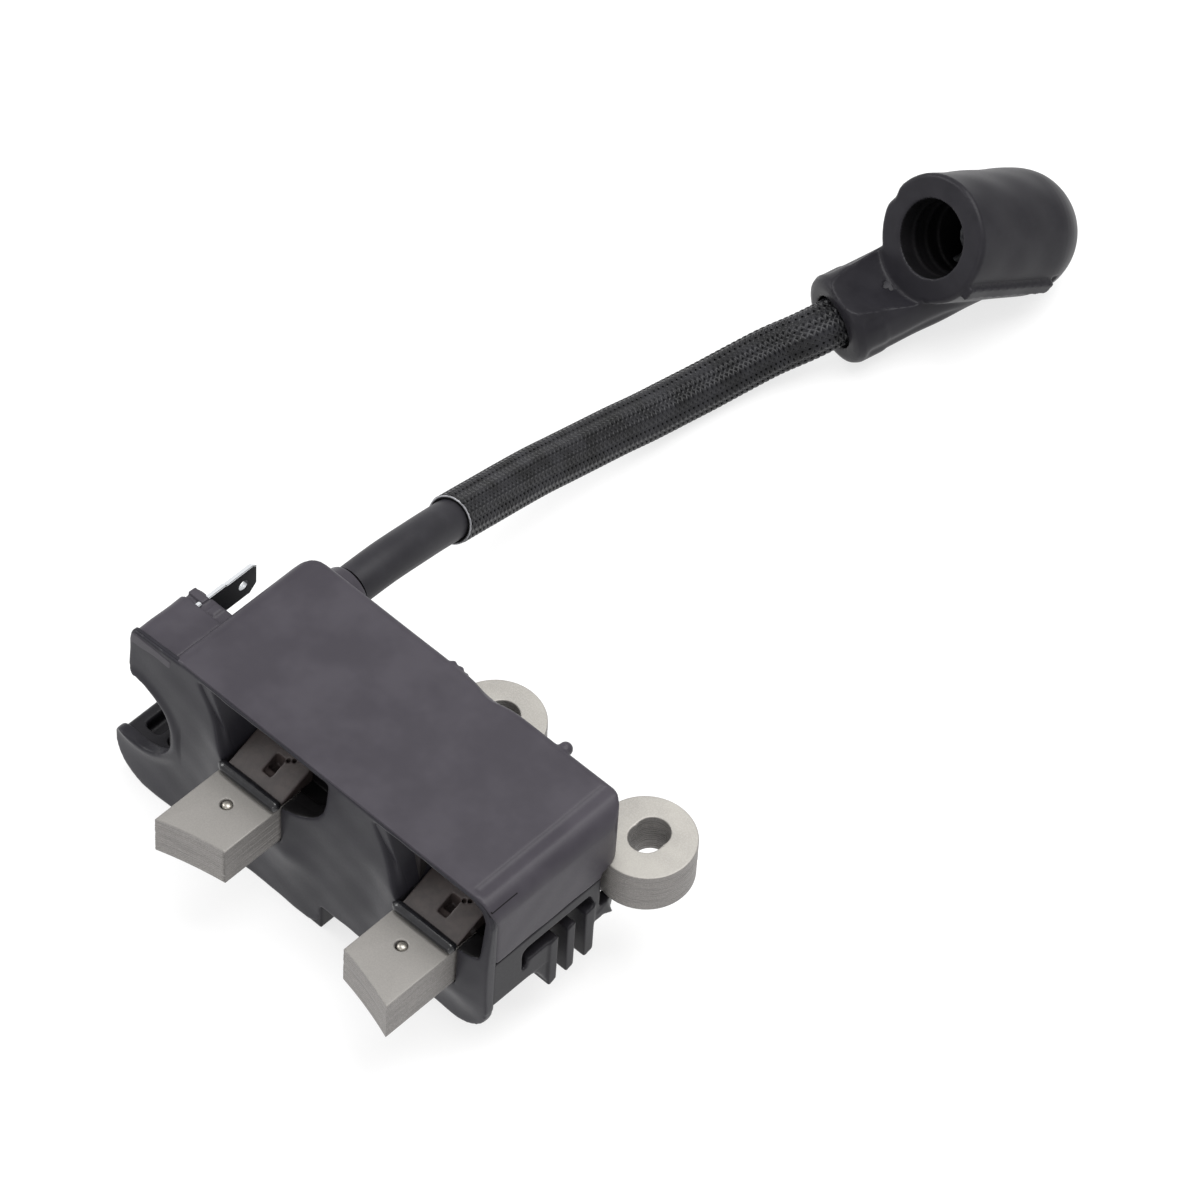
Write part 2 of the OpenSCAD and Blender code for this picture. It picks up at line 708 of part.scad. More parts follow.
spring_seat = 4;
spring_turns = 4;
spring_r = 2.3;
spring_pitch = 1.4;
spring_wire_r = 0.5;
spring_sides = 6;
spring_path = [
    for (i = [0 : spring_turns * 12])
        [spring_r * cos(30 * i), spring_r * sin(30 * i), spring_pitch * i / 12]
];

module boot_spring() {
    color("#c4c6c9") boot_place() barrel_place()
        translate([0, 0, spring_seat + 1.6]) rod(spring_path, spring_wire_r, spring_sides);
}

// ---------- output ----------

cover();
front_plate();
tray();
potting();
core();
core_interlocks();
leg_cap_left();
leg_cap_right();
lip_left();
lip_right();
primary_bobbin();
primary_winding();
secondary_bobbin();
secondary_winding();
circuit_board();
thyristor();
capacitor();
diode();
resistors();
trigger_bobbin();
trigger_winding();
ground_strap();
terminal_block();
stop_tab();
output_pin();
lead_tower();
ht_lead();
lead_sleeve();
lead_end();
boot();
boot_clip();
boot_spring();
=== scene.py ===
"""A two-leg flywheel ignition coil on a pale studio floor.

Every piece is made in millimetres on the core's own axes: X along the case, the poles towards -Y, Z up
from the underside of the lamination stack, and x = y = 0 midway between the lug holes. place() turns those
into the frame.
"""

import json
import math

import bmesh
import bpy
import numpy as np
from mathutils import Matrix, Vector, noise


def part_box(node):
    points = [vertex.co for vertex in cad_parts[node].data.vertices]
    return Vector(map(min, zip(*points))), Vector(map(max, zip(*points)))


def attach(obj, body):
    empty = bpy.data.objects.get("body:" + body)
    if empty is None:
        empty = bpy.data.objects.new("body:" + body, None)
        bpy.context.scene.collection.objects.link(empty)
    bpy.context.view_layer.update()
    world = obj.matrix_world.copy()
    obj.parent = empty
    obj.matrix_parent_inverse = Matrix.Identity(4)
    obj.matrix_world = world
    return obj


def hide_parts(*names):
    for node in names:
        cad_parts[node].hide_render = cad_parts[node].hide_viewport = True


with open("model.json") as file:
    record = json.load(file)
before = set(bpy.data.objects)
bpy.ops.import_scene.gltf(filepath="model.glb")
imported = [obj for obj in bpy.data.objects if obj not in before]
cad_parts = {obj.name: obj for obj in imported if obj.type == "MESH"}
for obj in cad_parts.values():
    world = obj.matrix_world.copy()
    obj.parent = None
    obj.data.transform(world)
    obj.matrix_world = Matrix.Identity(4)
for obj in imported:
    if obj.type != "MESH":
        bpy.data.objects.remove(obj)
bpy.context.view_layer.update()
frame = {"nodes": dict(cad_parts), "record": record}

MM = 0.001

# ---------- places and sizes, in millimetres on the core's own axes ----------

lug_x = 15.9
lug_r = 8.0
slot_r = 2.75
slot_y = 0.6
slot_step = 0.8
stack_top = 8.0
pole_w = 12.1
leg_left_x = -39.1
leg_right_x = -1.8
rotor_mid = (-14.4, -121.53)
rotor_r = 75.0
yoke_y0 = -16.0
yoke_y1 = -6.5
pole_tip_y = -50.72

cover_x0 = -52.8
cover_x1 = 16.0
cover_y0 = -33.4
cover_y1 = -4.0
cover_top = 21.0
seam_z = 7.2
wall = 2.0
plate_x0 = -64.8
lying_z = -16.7
plate_right_z = -11.1
tray_right_z = -3.3
tray_step_x = -19.3
shelf_x0 = -63.8
shelf_top = -6.5
window_low = 9.0
cap_y0 = -35.0
cap_y1 = -28.5
lip_y = -36.55

lead_d = 7.0
sleeve_d = 8.4
lead_exit = (-48.5, 1.0, 11.0)
elbow = Vector((-34.2, 144.3, -5.85))
tube_dir = Vector((0.25466, 0.96384, 0.07846))
tube_l = 36.0
tube_d = 16.0
barrel_d = 21.7
barrel_l = 22.0
bore_d = 13.3
bore_depth = 10.0
boot_turns = (("Z", -14.8), ("X", 4.5), ("Y", 9.9))
boot_angle = 34.4

core_low, core_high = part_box("core")
shift = Vector((core_low.x / MM - leg_left_x, core_high.y / MM - lug_r, core_low.z / MM))
to_frame = Matrix.Scale(MM, 4) @ Matrix.Translation(shift)


def place(point):
    """A point on the core's axes, in millimetres, as a point of the frame in metres."""
    return to_frame @ Vector(point)


# ---------- camera, light and floor ----------


def look_from(aim, azimuth, elevation, roll, distance, lens):
    """A camera that looks at the aim from the azimuth and elevation, turned by the roll, in degrees."""
    a, e, r = (math.radians(v) for v in (azimuth, elevation, roll))
    back = Vector((math.cos(e) * math.sin(a), -math.cos(e) * math.cos(a), math.sin(e)))
    right = Vector((math.cos(a), math.sin(a), 0))
    up = back.cross(right)
    across = math.cos(r) * right + math.sin(r) * up
    upright = math.cos(r) * up - math.sin(r) * right
    data = bpy.data.cameras.new("camera")
    data.lens = lens
    data.sensor_width = 36
    data.clip_start = 0.01
    camera = bpy.data.objects.new("camera", data)
    turn = Matrix((across, upright, back)).transposed().to_4x4()
    camera.matrix_world = Matrix.Translation(aim + distance * back) @ turn
    bpy.context.scene.collection.objects.link(camera)
    bpy.context.scene.camera = camera


def softbox(name, where, aim, size, power):
    data = bpy.data.lights.new(name, "AREA")
    data.shape = "RECTANGLE"
    data.size = size[0]
    data.size_y = size[1]
    data.energy = power
    lamp = bpy.data.objects.new(name, data)
    lamp.location = where
    lamp.rotation_euler = (Vector(aim) - Vector(where)).to_track_quat("-Z", "Y").to_euler()
    bpy.context.scene.collection.objects.link(lamp)


def studio():
    world = bpy.data.worlds.new("studio")
    world.use_nodes = True
    world.node_tree.nodes["Background"].inputs["Color"].default_value = (1, 1, 1, 1)
    world.node_tree.nodes["Background"].inputs["Strength"].default_value = 0.75
    bpy.context.scene.world = world
    bpy.context.scene.view_settings.view_transform = "Standard"
    middle = (0, 0.05, 0.01)
    softbox("softbox_above", (0.10, 0.25, 0.9), middle, (0.7, 0.7), 9.0)
    softbox("softbox_left", (-0.75, -0.25, 0.55), middle, (0.5, 0.5), 4.0)
    softbox("softbox_front", (0.25, -0.8, 0.35), middle, (0.4, 0.3), 1.2)


look_from(Vector((0.00653, 0.04163, 0.03813)), 40.24, 50.88, 4.07, 1.0, 195)
studio()

# ---------- shader maths ----------


class Value:
    """A node's socket as a value: each operator adds the Math node that works it out."""

    def __init__(self, finish, socket):
        self.finish = finish
        self.socket = socket

    def __add__(self, other):
        return self.finish.maths("ADD", self, other)

    def __radd__(self, other):
        return self.finish.maths("ADD", other, self)

    def __sub__(self, other):
        return self.finish.maths("SUBTRACT", self, other)

    def __rsub__(self, other):
        return self.finish.maths("SUBTRACT", other, self)

    def __mul__(self, other):
        return self.finish.maths("MULTIPLY", self, other)

    def __rmul__(self, other):
        return self.finish.maths("MULTIPLY", other, self)

    def __truediv__(self, other):
        return self.finish.maths("DIVIDE", self, other)

    def __rtruediv__(self, other):
        return self.finish.maths("DIVIDE", other, self)

    def __pow__(self, other):
        return self.finish.maths("POWER", self, other)

    def __gt__(self, other):
        return self.finish.maths("GREATER_THAN", self, other)

    def __lt__(self, other):
        return self.finish.maths("LESS_THAN", self, other)


class Finish:
    """A material built from nodes."""

    def __init__(self, name):
        self.material = bpy.data.materials.new(name)
        self.material.use_nodes = True
        self.tree = self.material.node_tree
        self.shader = self.tree.nodes["Principled BSDF"]

    def node(self, kind, settings=None, sockets=None, out=0):
        """Adds a node with its settings, gives its sockets values or links, and returns one output."""
        made = self.tree.nodes.new(kind)
        for key, value in (settings or {}).items():
            if key == "stops":
                self.set_stops(made.color_ramp, value)
            else:
                setattr(made, key, value)
        for key, value in (sockets or {}).items():
            self.feed(made.inputs[key], value)
        return Value(self, made.outputs[out])

    def set_stops(self, ramp, stops):
        while len(ramp.elements) < len(stops):
            ramp.elements.new(1)
        for element, (where, shade) in zip(ramp.elements, stops):
            element.position = where
            element.color = colour(shade)

    def feed(self, socket, value):
        if isinstance(value, Value):
            self.tree.links.new(value.socket, socket)
        else:
            socket.default_value = value

    def maths(self, operation, a, b=0.0, c=0.0):
        return self.node("ShaderNodeMath", {"operation": operation}, {0: a, 1: b, 2: c})

    def between(self, value, low, high, to_low=0.0, to_high=1.0):
        """The value eased from to_low to to_high as it goes from low to high."""
        return self.node(
            "ShaderNodeMapRange",
            {"interpolation_type": "SMOOTHSTEP"},
            {"Value": value, "From Min": low, "From Max": high, "To Min": to_low, "To Max": to_high},
        )

    def point(self, stretch=(1, 1, 1), turn=(0, 0, 0)):
        """The surface point in millimetres, stretched along the frame's axes."""
        where = self.node("ShaderNodeTexCoord", out="Object")
        scale = [1000 * s for s in stretch]
        return self.node("ShaderNodeMapping", None, {"Vector": where, "Scale": scale, "Rotation": turn})

    def grain(self, size, detail=2.0, roughness=0.5, stretch=(1, 1, 1), distortion=0.0):
        """Noise from 0 to 1 whose features are about the given size in millimetres."""
        return self.node(
            "ShaderNodeTexNoise",
            None,
            {
                "Vector": self.point(stretch),
                "Scale": 1 / size,
                "Detail": detail,
                "Roughness": roughness,
                "Distortion": distortion,
            },
        )

    def facing(self, axis):
        """How far the surface turns to an axis of the frame, from -1 to 1."""
        normal = self.node("ShaderNodeNewGeometry", out="Normal")
        return self.node("ShaderNodeSeparateXYZ", None, {0: normal}, out="XYZ".index(axis))

    def along(self, axis):
        """The surface point's place on an axis of the frame, in metres."""
        where = self.node("ShaderNodeTexCoord", out="Object")
        return self.node("ShaderNodeSeparateXYZ", None, {0: where}, out="XYZ".index(axis))

    def mix(self, amount, first, second):
        """A colour that goes from the first to the second as the amount goes from 0 to 1."""
        made = self.tree.nodes.new("ShaderNodeMix")
        made.data_type = "RGBA"
        self.feed(made.inputs[0], amount)
        self.feed(made.inputs[6], first if isinstance(first, Value) else colour(first))
        self.feed(made.inputs[7], second if isinstance(second, Value) else colour(second))
        return Value(self, made.outputs[2])

    def bump(self, height, depth, strength=1.0, below=None):
        """Shading relief: depth is in millimetres for a height of 1."""
        sockets = {"Height": height, "Distance": depth * MM, "Strength": strength}
        if below is not None:
            sockets["Normal"] = below
        return self.node("ShaderNodeBump", None, sockets)

    def surface(self, **sockets):
        for key, value in sockets.items():
            name = key.replace("_", " ")
            if isinstance(value, str):
                value = colour(value)
            self.feed(self.shader.inputs[name], value)
        return self


def colour(text):
    """An sRGB hex colour as linear RGBA."""
    if not isinstance(text, str):
        return text
    parts = [int(text[i : i + 2], 16) / 255 for i in (1, 3, 5)]
    return [c / 12.92 if c <= 0.04045 else ((c + 0.055) / 1.055) ** 2.4 for c in parts] + [1.0]


# ---------- finishes ----------


def moulding(name, light, dark, gloss=0.42, relief=0.012, sheen=0.2):
    """Moulded nylon: a satin skin with faint cloudy patches and a fine grain."""
    f = Finish(name)
    clouds = f.grain(9, 3, 0.6)
    specks = f.grain(0.45, 2, 0.6)
    shade = f.mix(f.between(clouds, 0.35, 0.7), dark, light)
    rough = gloss + 0.12 * (clouds - 0.5) + 0.10 * (specks - 0.5)
    soft = f.bump(f.grain(3.5, 2), 0.05, 0.35)
    normal = f.bump(specks, relief, 0.5, soft)
    return f.surface(Base_Color=shade, Roughness=rough, Normal=normal, Specular_IOR_Level=sheen)


def lamination_finish():
    """Ground and stamped steel: satin faces, and grey sides with a fine speckle and the sheets' lines."""
    f = Finish("lamination_steel")
    side = 1 - f.between(f.maths("ABSOLUTE", f.facing("Z")), 0.5, 0.9)
    cloud = f.grain(7, 2, 0.5)
    fine = f.grain(0.22, 3, 0.7)
    lines = f.grain(0.5, 2, 0.6, (0.08, 0.08, 1))
    face = f.mix(f.between(cloud, 0.25, 0.75), "#8E8B86", "#9C9993")
    face = f.mix(0.35 * f.between(fine, 0.35, 0.75), face, "#B5B2AC")
    flank = f.mix(f.between(fine, 0.3, 0.75), "#757270", "#908D8A")
    flank = f.mix(0.3 * f.between(lines, 0.45, 0.7), flank, "#5E5C5A")
    shade = f.mix(side, face, flank)
    # Painted shade: the sheet faces on the poles, in front of the flange, are darker than on the lugs.
    pole_shade = f.between(f.along("Y"), -0.006, -0.018)
    shade = f.mix(pole_shade, shade, f.mix(side, f.mix(fine, "#6C6A67", "#86837F"), shade))
    rough = 0.46 + 0.06 * (cloud - 0.5) + 0.08 * (fine - 0.5) + 0.1 * side
    normal = f.bump(fine, 0.012, 0.5)
    normal = f.bump(lines * side, 0.02, 0.5, normal)
    return f.surface(Base_Color=shade, Metallic=0.35, Roughness=rough, Normal=normal)


def blade_finish():
    """A tinned blade: dark painted reflection on its faces, painted highlight on the cut edges facing up."""
    f = Finish("tab_tin")
    cloud = f.grain(2, 3, 0.6)
    edge_highlight = f.between(f.facing("Z"), 0.35, 0.6)
    shade = f.mix(edge_highlight, f.mix(cloud, "#2A2B2E", "#3A3B3E"), "#D5D7DA")
    rough = 0.36 - 0.1 * edge_highlight + 0.06 * (cloud - 0.5)
    speckle = f.bump(f.grain(0.4, 2), 0.006, 0.4)
    return f.surface(Base_Color=shade, Metallic=0.7, Roughness=rough, Normal=speckle)


def rubber(name, shade_low, shade_high, gloss, relief=0.02, sheen=0.15):
    f = Finish(name)
    cloud = f.grain(5, 3, 0.6)
    dust = f.grain(0.3, 3, 0.7)
    shade = f.mix(f.between(cloud, 0.3, 0.7), shade_low, shade_high)
    rough = gloss + 0.1 * (cloud - 0.5) + 0.12 * (dust - 0.5)
    return f.surface(
        Base_Color=shade, Roughness=rough, Normal=f.bump(dust, relief, 0.5), Specular_IOR_Level=sheen
    )


def plain_satin(name, low, high, gloss=0.4, metal=0.0, size=1.5, relief=0.01):
    f = Finish(name)
    cloud = f.grain(size, 3, 0.6)
    fine = f.grain(0.3, 2)
    shade = f.mix(f.between(cloud, 0.3, 0.7), low, high)
    rough = gloss + 0.12 * (cloud - 0.5)
    return f.surface(Base_Color=shade, Metallic=metal, Roughness=rough, Normal=f.bump(fine, relief, 0.5))


finishes = {
    "case_moulding": moulding("case_moulding", "#3A373D", "#333036"),
    # plate_moulding and tray_moulding are darker copies of case_moulding: painted shade on the front flange
    # and the tray.
    "plate_moulding": moulding("plate_moulding", "#29282D", "#222126", 0.36, 0.012, 0.16),
    "tray_moulding": moulding("tray_moulding", "#232226", "#1B1A1D", 0.4, 0.012, 0.15),
    "resin": plain_satin("resin", "#262425", "#2E2B2B", 0.3),
    "lamination_steel": lamination_finish(),
    "pin_steel": plain_satin("pin_steel", "#8F8B84", "#A8A49C", 0.35, 0.8, 0.5),
    "cap_plastic": plain_satin("cap_plastic", "#352E2D", "#403836", 0.45),
    "lip_gloss": plain_satin("lip_gloss", "#151517", "#1C1C1F", 0.22),
    "bobbin_plastic": plain_satin("bobbin_plastic", "#242226", "#2C2A2E", 0.45),
    "natural_nylon": plain_satin("natural_nylon", "#BDB59E", "#CFC8B4", 0.45),
    "enamelled_copper": plain_satin("enamelled_copper", "#8A4A25", "#B06A3C", 0.3, 0.9, 0.4),
    "board_laminate": plain_satin("board_laminate", "#285A3A", "#2F6B45", 0.35),
    "component_body": plain_satin("component_body", "#161617", "#1F1F21", 0.35),
    "film_capacitor": plain_satin("film_capacitor", "#7C3223", "#934431", 0.3),
    "resistor_body": plain_satin("resistor_body", "#AA8F64", "#C0A67C", 0.4),
    "strap_brass": plain_satin("strap_brass", "#A08B46", "#BCA862", 0.3, 0.9, 0.6),
    "tab_tin": blade_finish(),
    "lead_rubber": rubber("lead_rubber", "#222125", "#29282C", 0.5, 0.02, 0.2),
    "sleeve_braid": rubber("sleeve_braid", "#121213", "#242427", 0.34, 0.01, 0.22),
    "sleeve_fray": plain_satin("sleeve_fray", "#6E6E72", "#A9A9AD", 0.6),
    # Painted shade: the near-black for the gaps between the braid's yarns.
    "braid_gap_shade": rubber("braid_gap_shade", "#060607", "#0C0C0D", 0.8),
    # Painted shade: the black of the windows' pits and the walls behind them.
    "window_shade_black": rubber("window_shade_black", "#0B0A0B", "#131213", 0.4, 0.01, 0.12),
    "boot_rubber": rubber("boot_rubber", "#1C1B1F", "#222125", 0.40, 0.008),
    # Painted shade: the boot rubber made darker for the inside of its bore.
    "bore_shade_black": rubber("bore_shade_black", "#0A0A0B", "#100F11", 0.55, 0.008),
    "spring_steel": plain_satin("spring_steel", "#6E7073", "#8A8C8F", 0.45, 0.9, 0.6),
}


def dress_cad_nodes():
    """Gives each CAD node the finish of its own material slot."""
    for row in frame["record"]["subparts"]:
        mesh = frame["nodes"][row["node"]].data
        mesh.materials.clear()
        mesh.materials.append(finishes[row["material_slot"]].material)


dress_cad_nodes()

# ---------- lead ----------

tube_end = elbow - tube_l * tube_dir
lead_route = [
    lead_exit,
    (-48.6, 8, 10.6),
    (-49, 15, 9.1),
    (-49.7, 21.5, 7),
    (-50.4, 28, 4.6),
    (-51.1, 34.5, 2.1),
    (-51.8, 41, -0.4),
    (-52.4, 47.5, -2.9),
    (-52.7, 54, -5.3),
    (-52.8, 60.5, -7.4),
    (-52.7, 67, -9.2),
    (-52.3, 73.5, -10.8),
    (-51.7, 80, -11.8),
    (-50.7, 86.5, -12.2),
    (-49.3, 93, -11.8),
    (-47.4, 99, -10.7),
    tube_end - 5 * tube_dir,
    tube_end + 4 * tube_dir,
]


def smooth_path(points, steps):
    """A Catmull-Rom path through the points, with the given number of steps between each pair."""
    p = [np.array(q, float) for q in points]
    path = []
    for i in range(len(p) - 1):
        before, a, b, after = p[max(i - 1, 0)], p[i], p[i + 1], p[min(i + 2, len(p) - 1)]
        for t in np.arange(steps) / steps:
            path.append(
                0.5
                * (
                    2 * a
                    + (b - before) * t
                    + (2 * before - 5 * a + 4 * b - after) * t**2
                    + (3 * a - before - 3 * b + after) * t**3
                )
            )
    return np.array(path + [p[-1]])


route_steps = 8
lead_path = smooth_path(lead_route, route_steps)


def curve_piece(name, points, radius, finish, body, nodes=()):
    """A round tube along one open spline through points on the core's axes."""
    data = bpy.data.curves.new(name, "CURVE")
    data.dimensions = "3D"
    data.bevel_depth = radius * MM
    data.bevel_resolution = 8
    data.use_fill_caps = True
    line = data.splines.new("POLY")
    line.points.add(len(points) - 1)
    for knot, point in zip(line.points, points):
        knot.co = (*place(point), 1)
    data.materials.append(finishes[finish].material)
    made = bpy.data.objects.new(name, data)
    bpy.context.scene.collection.objects.link(made)
    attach(made, body)
    if nodes:
        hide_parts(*nodes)
    return made


lead = curve_piece("lead", lead_path, lead_d / 2, "lead_rubber", "coil", ["ht_lead"])
# ---------- making solids ----------


def round_outline(corners, steps=6):
    """A closed outline from corners (x, y, radius), each rounded by its own radius."""
    points = []
    for i, (x, y, radius) in enumerate(corners):
        here = np.array((x, y), float)
        if not radius:
            points.append(here)
            continue
        back = np.array(corners[i - 1][:2]) - here
        ahead = np.array(corners[(i + 1) % len(corners)][:2]) - here
        back, ahead = back / np.linalg.norm(back), ahead / np.linalg.norm(ahead)
        half = math.acos(np.clip(back @ ahead, -1, 1)) / 2
        middle = here + (back + ahead) / np.linalg.norm(back + ahead) * radius / math.sin(half)
        start = here + back * radius / math.tan(half) - middle
        end = here + ahead * radius / math.tan(half) - middle
        sweep = math.atan2(start[0] * end[1] - start[1] * end[0], start @ end)
        for k in range(steps + 1):
            a = sweep * k / steps
            turned = (
                start[0] * math.cos(a) - start[1] * math.sin(a),
                start[0] * math.sin(a) + start[1] * math.cos(a),
            )
            points.append(middle + turned)
    return points


def circle(x, y, radius, steps=32):
    return [
        (x + radius * math.cos(a), y + radius * math.sin(a)) for a in np.arange(steps) * math.tau / steps
    ]


def prism(outline, axis, low, high):
    """A closed solid: an outline in the plane square to the axis, drawn out from low to high along it."""
    bm = bmesh.new()
    ends = []
    for along in (low, high):
        ring = []
        for u, v in outline:
            where = {"X": (along, u, v), "Y": (u, along, v), "Z": (u, v, along)}[axis]
            ring.append(bm.verts.new(where))
        ends.append(ring)
        bm.faces.new(ring)
    for i in range(len(outline)):
        j = (i + 1) % len(outline)
        bm.faces.new((ends[0][i], ends[0][j], ends[1][j], ends[1][i]))
    bmesh.ops.recalc_face_normals(bm, faces=bm.faces)
    return bm


def loft(rings):
    """A closed solid through a row of rings of as many points each."""
    bm = bmesh.new()
    rows = [[bm.verts.new(p) for p in ring] for ring in rings]
    bm.faces.new(rows[0])
    bm.faces.new(rows[-1])
    for a, b in zip(rows, rows[1:]):
        for i in range(len(a)):
            j = (i + 1) % len(a)
            bm.faces.new((a[i], a[j], b[j], b[i]))
    bmesh.ops.triangulate(bm, faces=bm.faces)
    bmesh.ops.recalc_face_normals(bm, faces=bm.faces)
    return bm


def block(low, high):
    corners = [(low[0], low[1]), (high[0], low[1]), (high[0], high[1]), (low[0], high[1])]
    return prism(corners, "Z", low[2], high[2])


def turned(profile, steps=64):
    """A closed solid of revolution about Z, from (radius, z) points that start and end at radius 0."""
    bm = bmesh.new()
    rings = []
    for radius, z in profile:
        if radius <= 1e-6:
            rings.append([bm.verts.new((0, 0, z))])
        else:
            rings.append([bm.verts.new((x, y, z)) for x, y in circle(0, 0, radius, steps)])
    for a, b in zip(rings, rings[1:]):
        for i in range(steps):
            j = (i + 1) % steps
            corners = [a[i % len(a)], a[j % len(a)], b[j % len(b)], b[i % len(b)]]
            kept = list(dict.fromkeys(corners))
            if len(kept) > 2:
                bm.faces.new(kept)
    bmesh.ops.recalc_face_normals(bm, faces=bm.faces)
    return bm


def moved(bm, matrix):
    bm.transform(matrix)
    return bm


def joined(*solids):
    """One mesh object holding all the solids, which may overlap."""
    whole = bmesh.new()
    for solid in solids:
        part = bpy.data.meshes.new("part")
        solid.to_mesh(part)
        solid.free()
        whole.from_mesh(part)
        bpy.data.meshes.remove(part)
    data = bpy.data.meshes.new("solid")
    whole.to_mesh(data)
    whole.free()
    made = bpy.data.objects.new("solid", data)
    bpy.context.scene.collection.objects.link(made)
    return made


def baked(thing):
    """Applies the object's modifiers to its mesh."""
    depsgraph = bpy.context.evaluated_depsgraph_get()
    data = bpy.data.meshes.new_from_object(thing.evaluated_get(depsgraph))
    thing.modifiers.clear()
    thing.data = data
    return thing


def carve(thing, tool, operation="DIFFERENCE"):
    """Cuts the tool's solids from the thing, or keeps or adds them, and removes the tool."""
    if isinstance(tool, bmesh.types.BMesh):
        tool = joined(tool)
    change = thing.modifiers.new("carve", "BOOLEAN")
    change.operation = operation
    change.solver = "EXACT"
    change.use_self = True
    change.object = tool
    baked(thing)
    bpy.data.objects.remove(tool)
    return thing


def triangulated(thing):
    thing.modifiers.new("triangles", "TRIANGULATE")
    return baked(thing)


def melt(thing, grid, rounds):
    """Makes one skin of overlapping solids on a fine grid, and softens its edges as a mould does."""
    skin = thing.modifiers.new("skin", "REMESH")
    skin.mode = "VOXEL"
    skin.voxel_size = grid
    soft = thing.modifiers.new("soft", "SMOOTH")
    soft.factor = 0.5
    soft.iterations = rounds
    return baked(thing)


def reshape(thing, move):
    """Moves every vertex: move takes and returns an array of points."""
    mesh = thing.data
    points = np.empty(len(mesh.vertices) * 3)
    mesh.vertices.foreach_get("co", points)
    points = move(points.reshape(-1, 3))
    mesh.vertices.foreach_set("co", points.ravel())
    mesh.update()
    return thing


def ease(value, low, high):
    t = np.clip((value - low) / (high - low), 0, 1)
    return t * t * (3 - 2 * t)


def ripple(u, v, size):
    """Gentle unevenness from -1 to 1 over a surface, with hollows about the given size apart."""
    k = math.tau / size
    total = np.sin(k * (0.93 * u + 0.37 * v) + 0.8)
    total += np.sin(k * (-0.31 * u + 1.12 * v) * 0.83 + 2.1)
    total += 0.7 * np.sin(k * (0.61 * u - 0.77 * v) * 1.61 + 4.0)
    return total / 2.7


def paint(thing, *parts):
    """Gives faces other finishes: each part is a finish and a function that picks its faces."""
    mesh = thing.data
    count = len(mesh.polygons)
    middles, normals = np.empty(count * 3), np.empty(count * 3)
    mesh.polygons.foreach_get("center", middles)
    mesh.polygons.foreach_get("normal", normals)
    slots = np.zeros(count, np.int32)
    mesh.materials.clear()
    mesh.materials.append(None)
    for finish, chosen in parts:
        slots[chosen(middles.reshape(-1, 3), normals.reshape(-1, 3))] = len(mesh.materials)
        mesh.materials.append(finishes[finish].material)
    mesh.polygons.foreach_set("material_index", slots)


def show(thing, name, finish, body, nodes=(), flat=None):
    """Puts a finished solid into the frame as a named piece that rides on a body and stands for CAD nodes."""
    thing.name = name
    thing.data.name = name
    thing.data.transform(to_frame)
    if not thing.data.materials:
        thing.data.materials.append(None)
    thing.data.materials[0] = finishes[finish].material
    thing.data.shade_smooth()
    if flat is not None:
        thing.data.set_sharp_from_angle(angle=math.radians(flat))
    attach(thing, body)
    if nodes:
        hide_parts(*nodes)
    return thing


# ---------- case ----------

pole_xs = (leg_left_x, leg_right_x)
windows = (
    {"leg": leg_left_x, "right": leg_left_x + pole_w + 8, "low_corner": 6.0, "top_corner": 0.4},
    {"leg": leg_right_x, "right": cover_x1 - 1.6, "low_corner": 0.6, "top_corner": 3.4},
)


def window_tool(window):
    """The space of one window. Its left wall slopes out to the front, more and more towards the top."""
    left, right = window["leg"] + 0.45, window["right"]
    front = round_outline(
        [
            (left - 12, window_low, 0),
            (right, window_low, window["low_corner"]),
            (right, cover_top - 1.0, window["top_corner"]),
            (left - 12, cover_top - 1.0, 0),
        ],
        10,
    )
    flare = [(-28.4 - 9.6 * t, 11.4 * (0.8 * t + 0.2 * t * t)) for t in np.linspace(0, 1, 13)]
    flare += [(-41.2, 11.6)]
    rings = []
    for share in np.linspace(0, 1, 15):
        z = window_low - 1.2 + share * (cover_top + 1.7 - window_low)
        ring = [(left - share * out, y, z) for y, out in flare]
        rings.append(ring + [(right + 1, -41.3, z), (right + 1, cap_y1 + 0.1, z)])
    tool = joined(prism(front, "Y", -41.1, cap_y1 - 0.01))
    carve(tool, loft(rings), "INTERSECT")
    return triangulated(tool)


def leg_hole(x):
    return block((x - 0.15, -40, -0.1), (x + pole_w + 0.15, cover_y0 + wall + 1, window_low + 0.2))


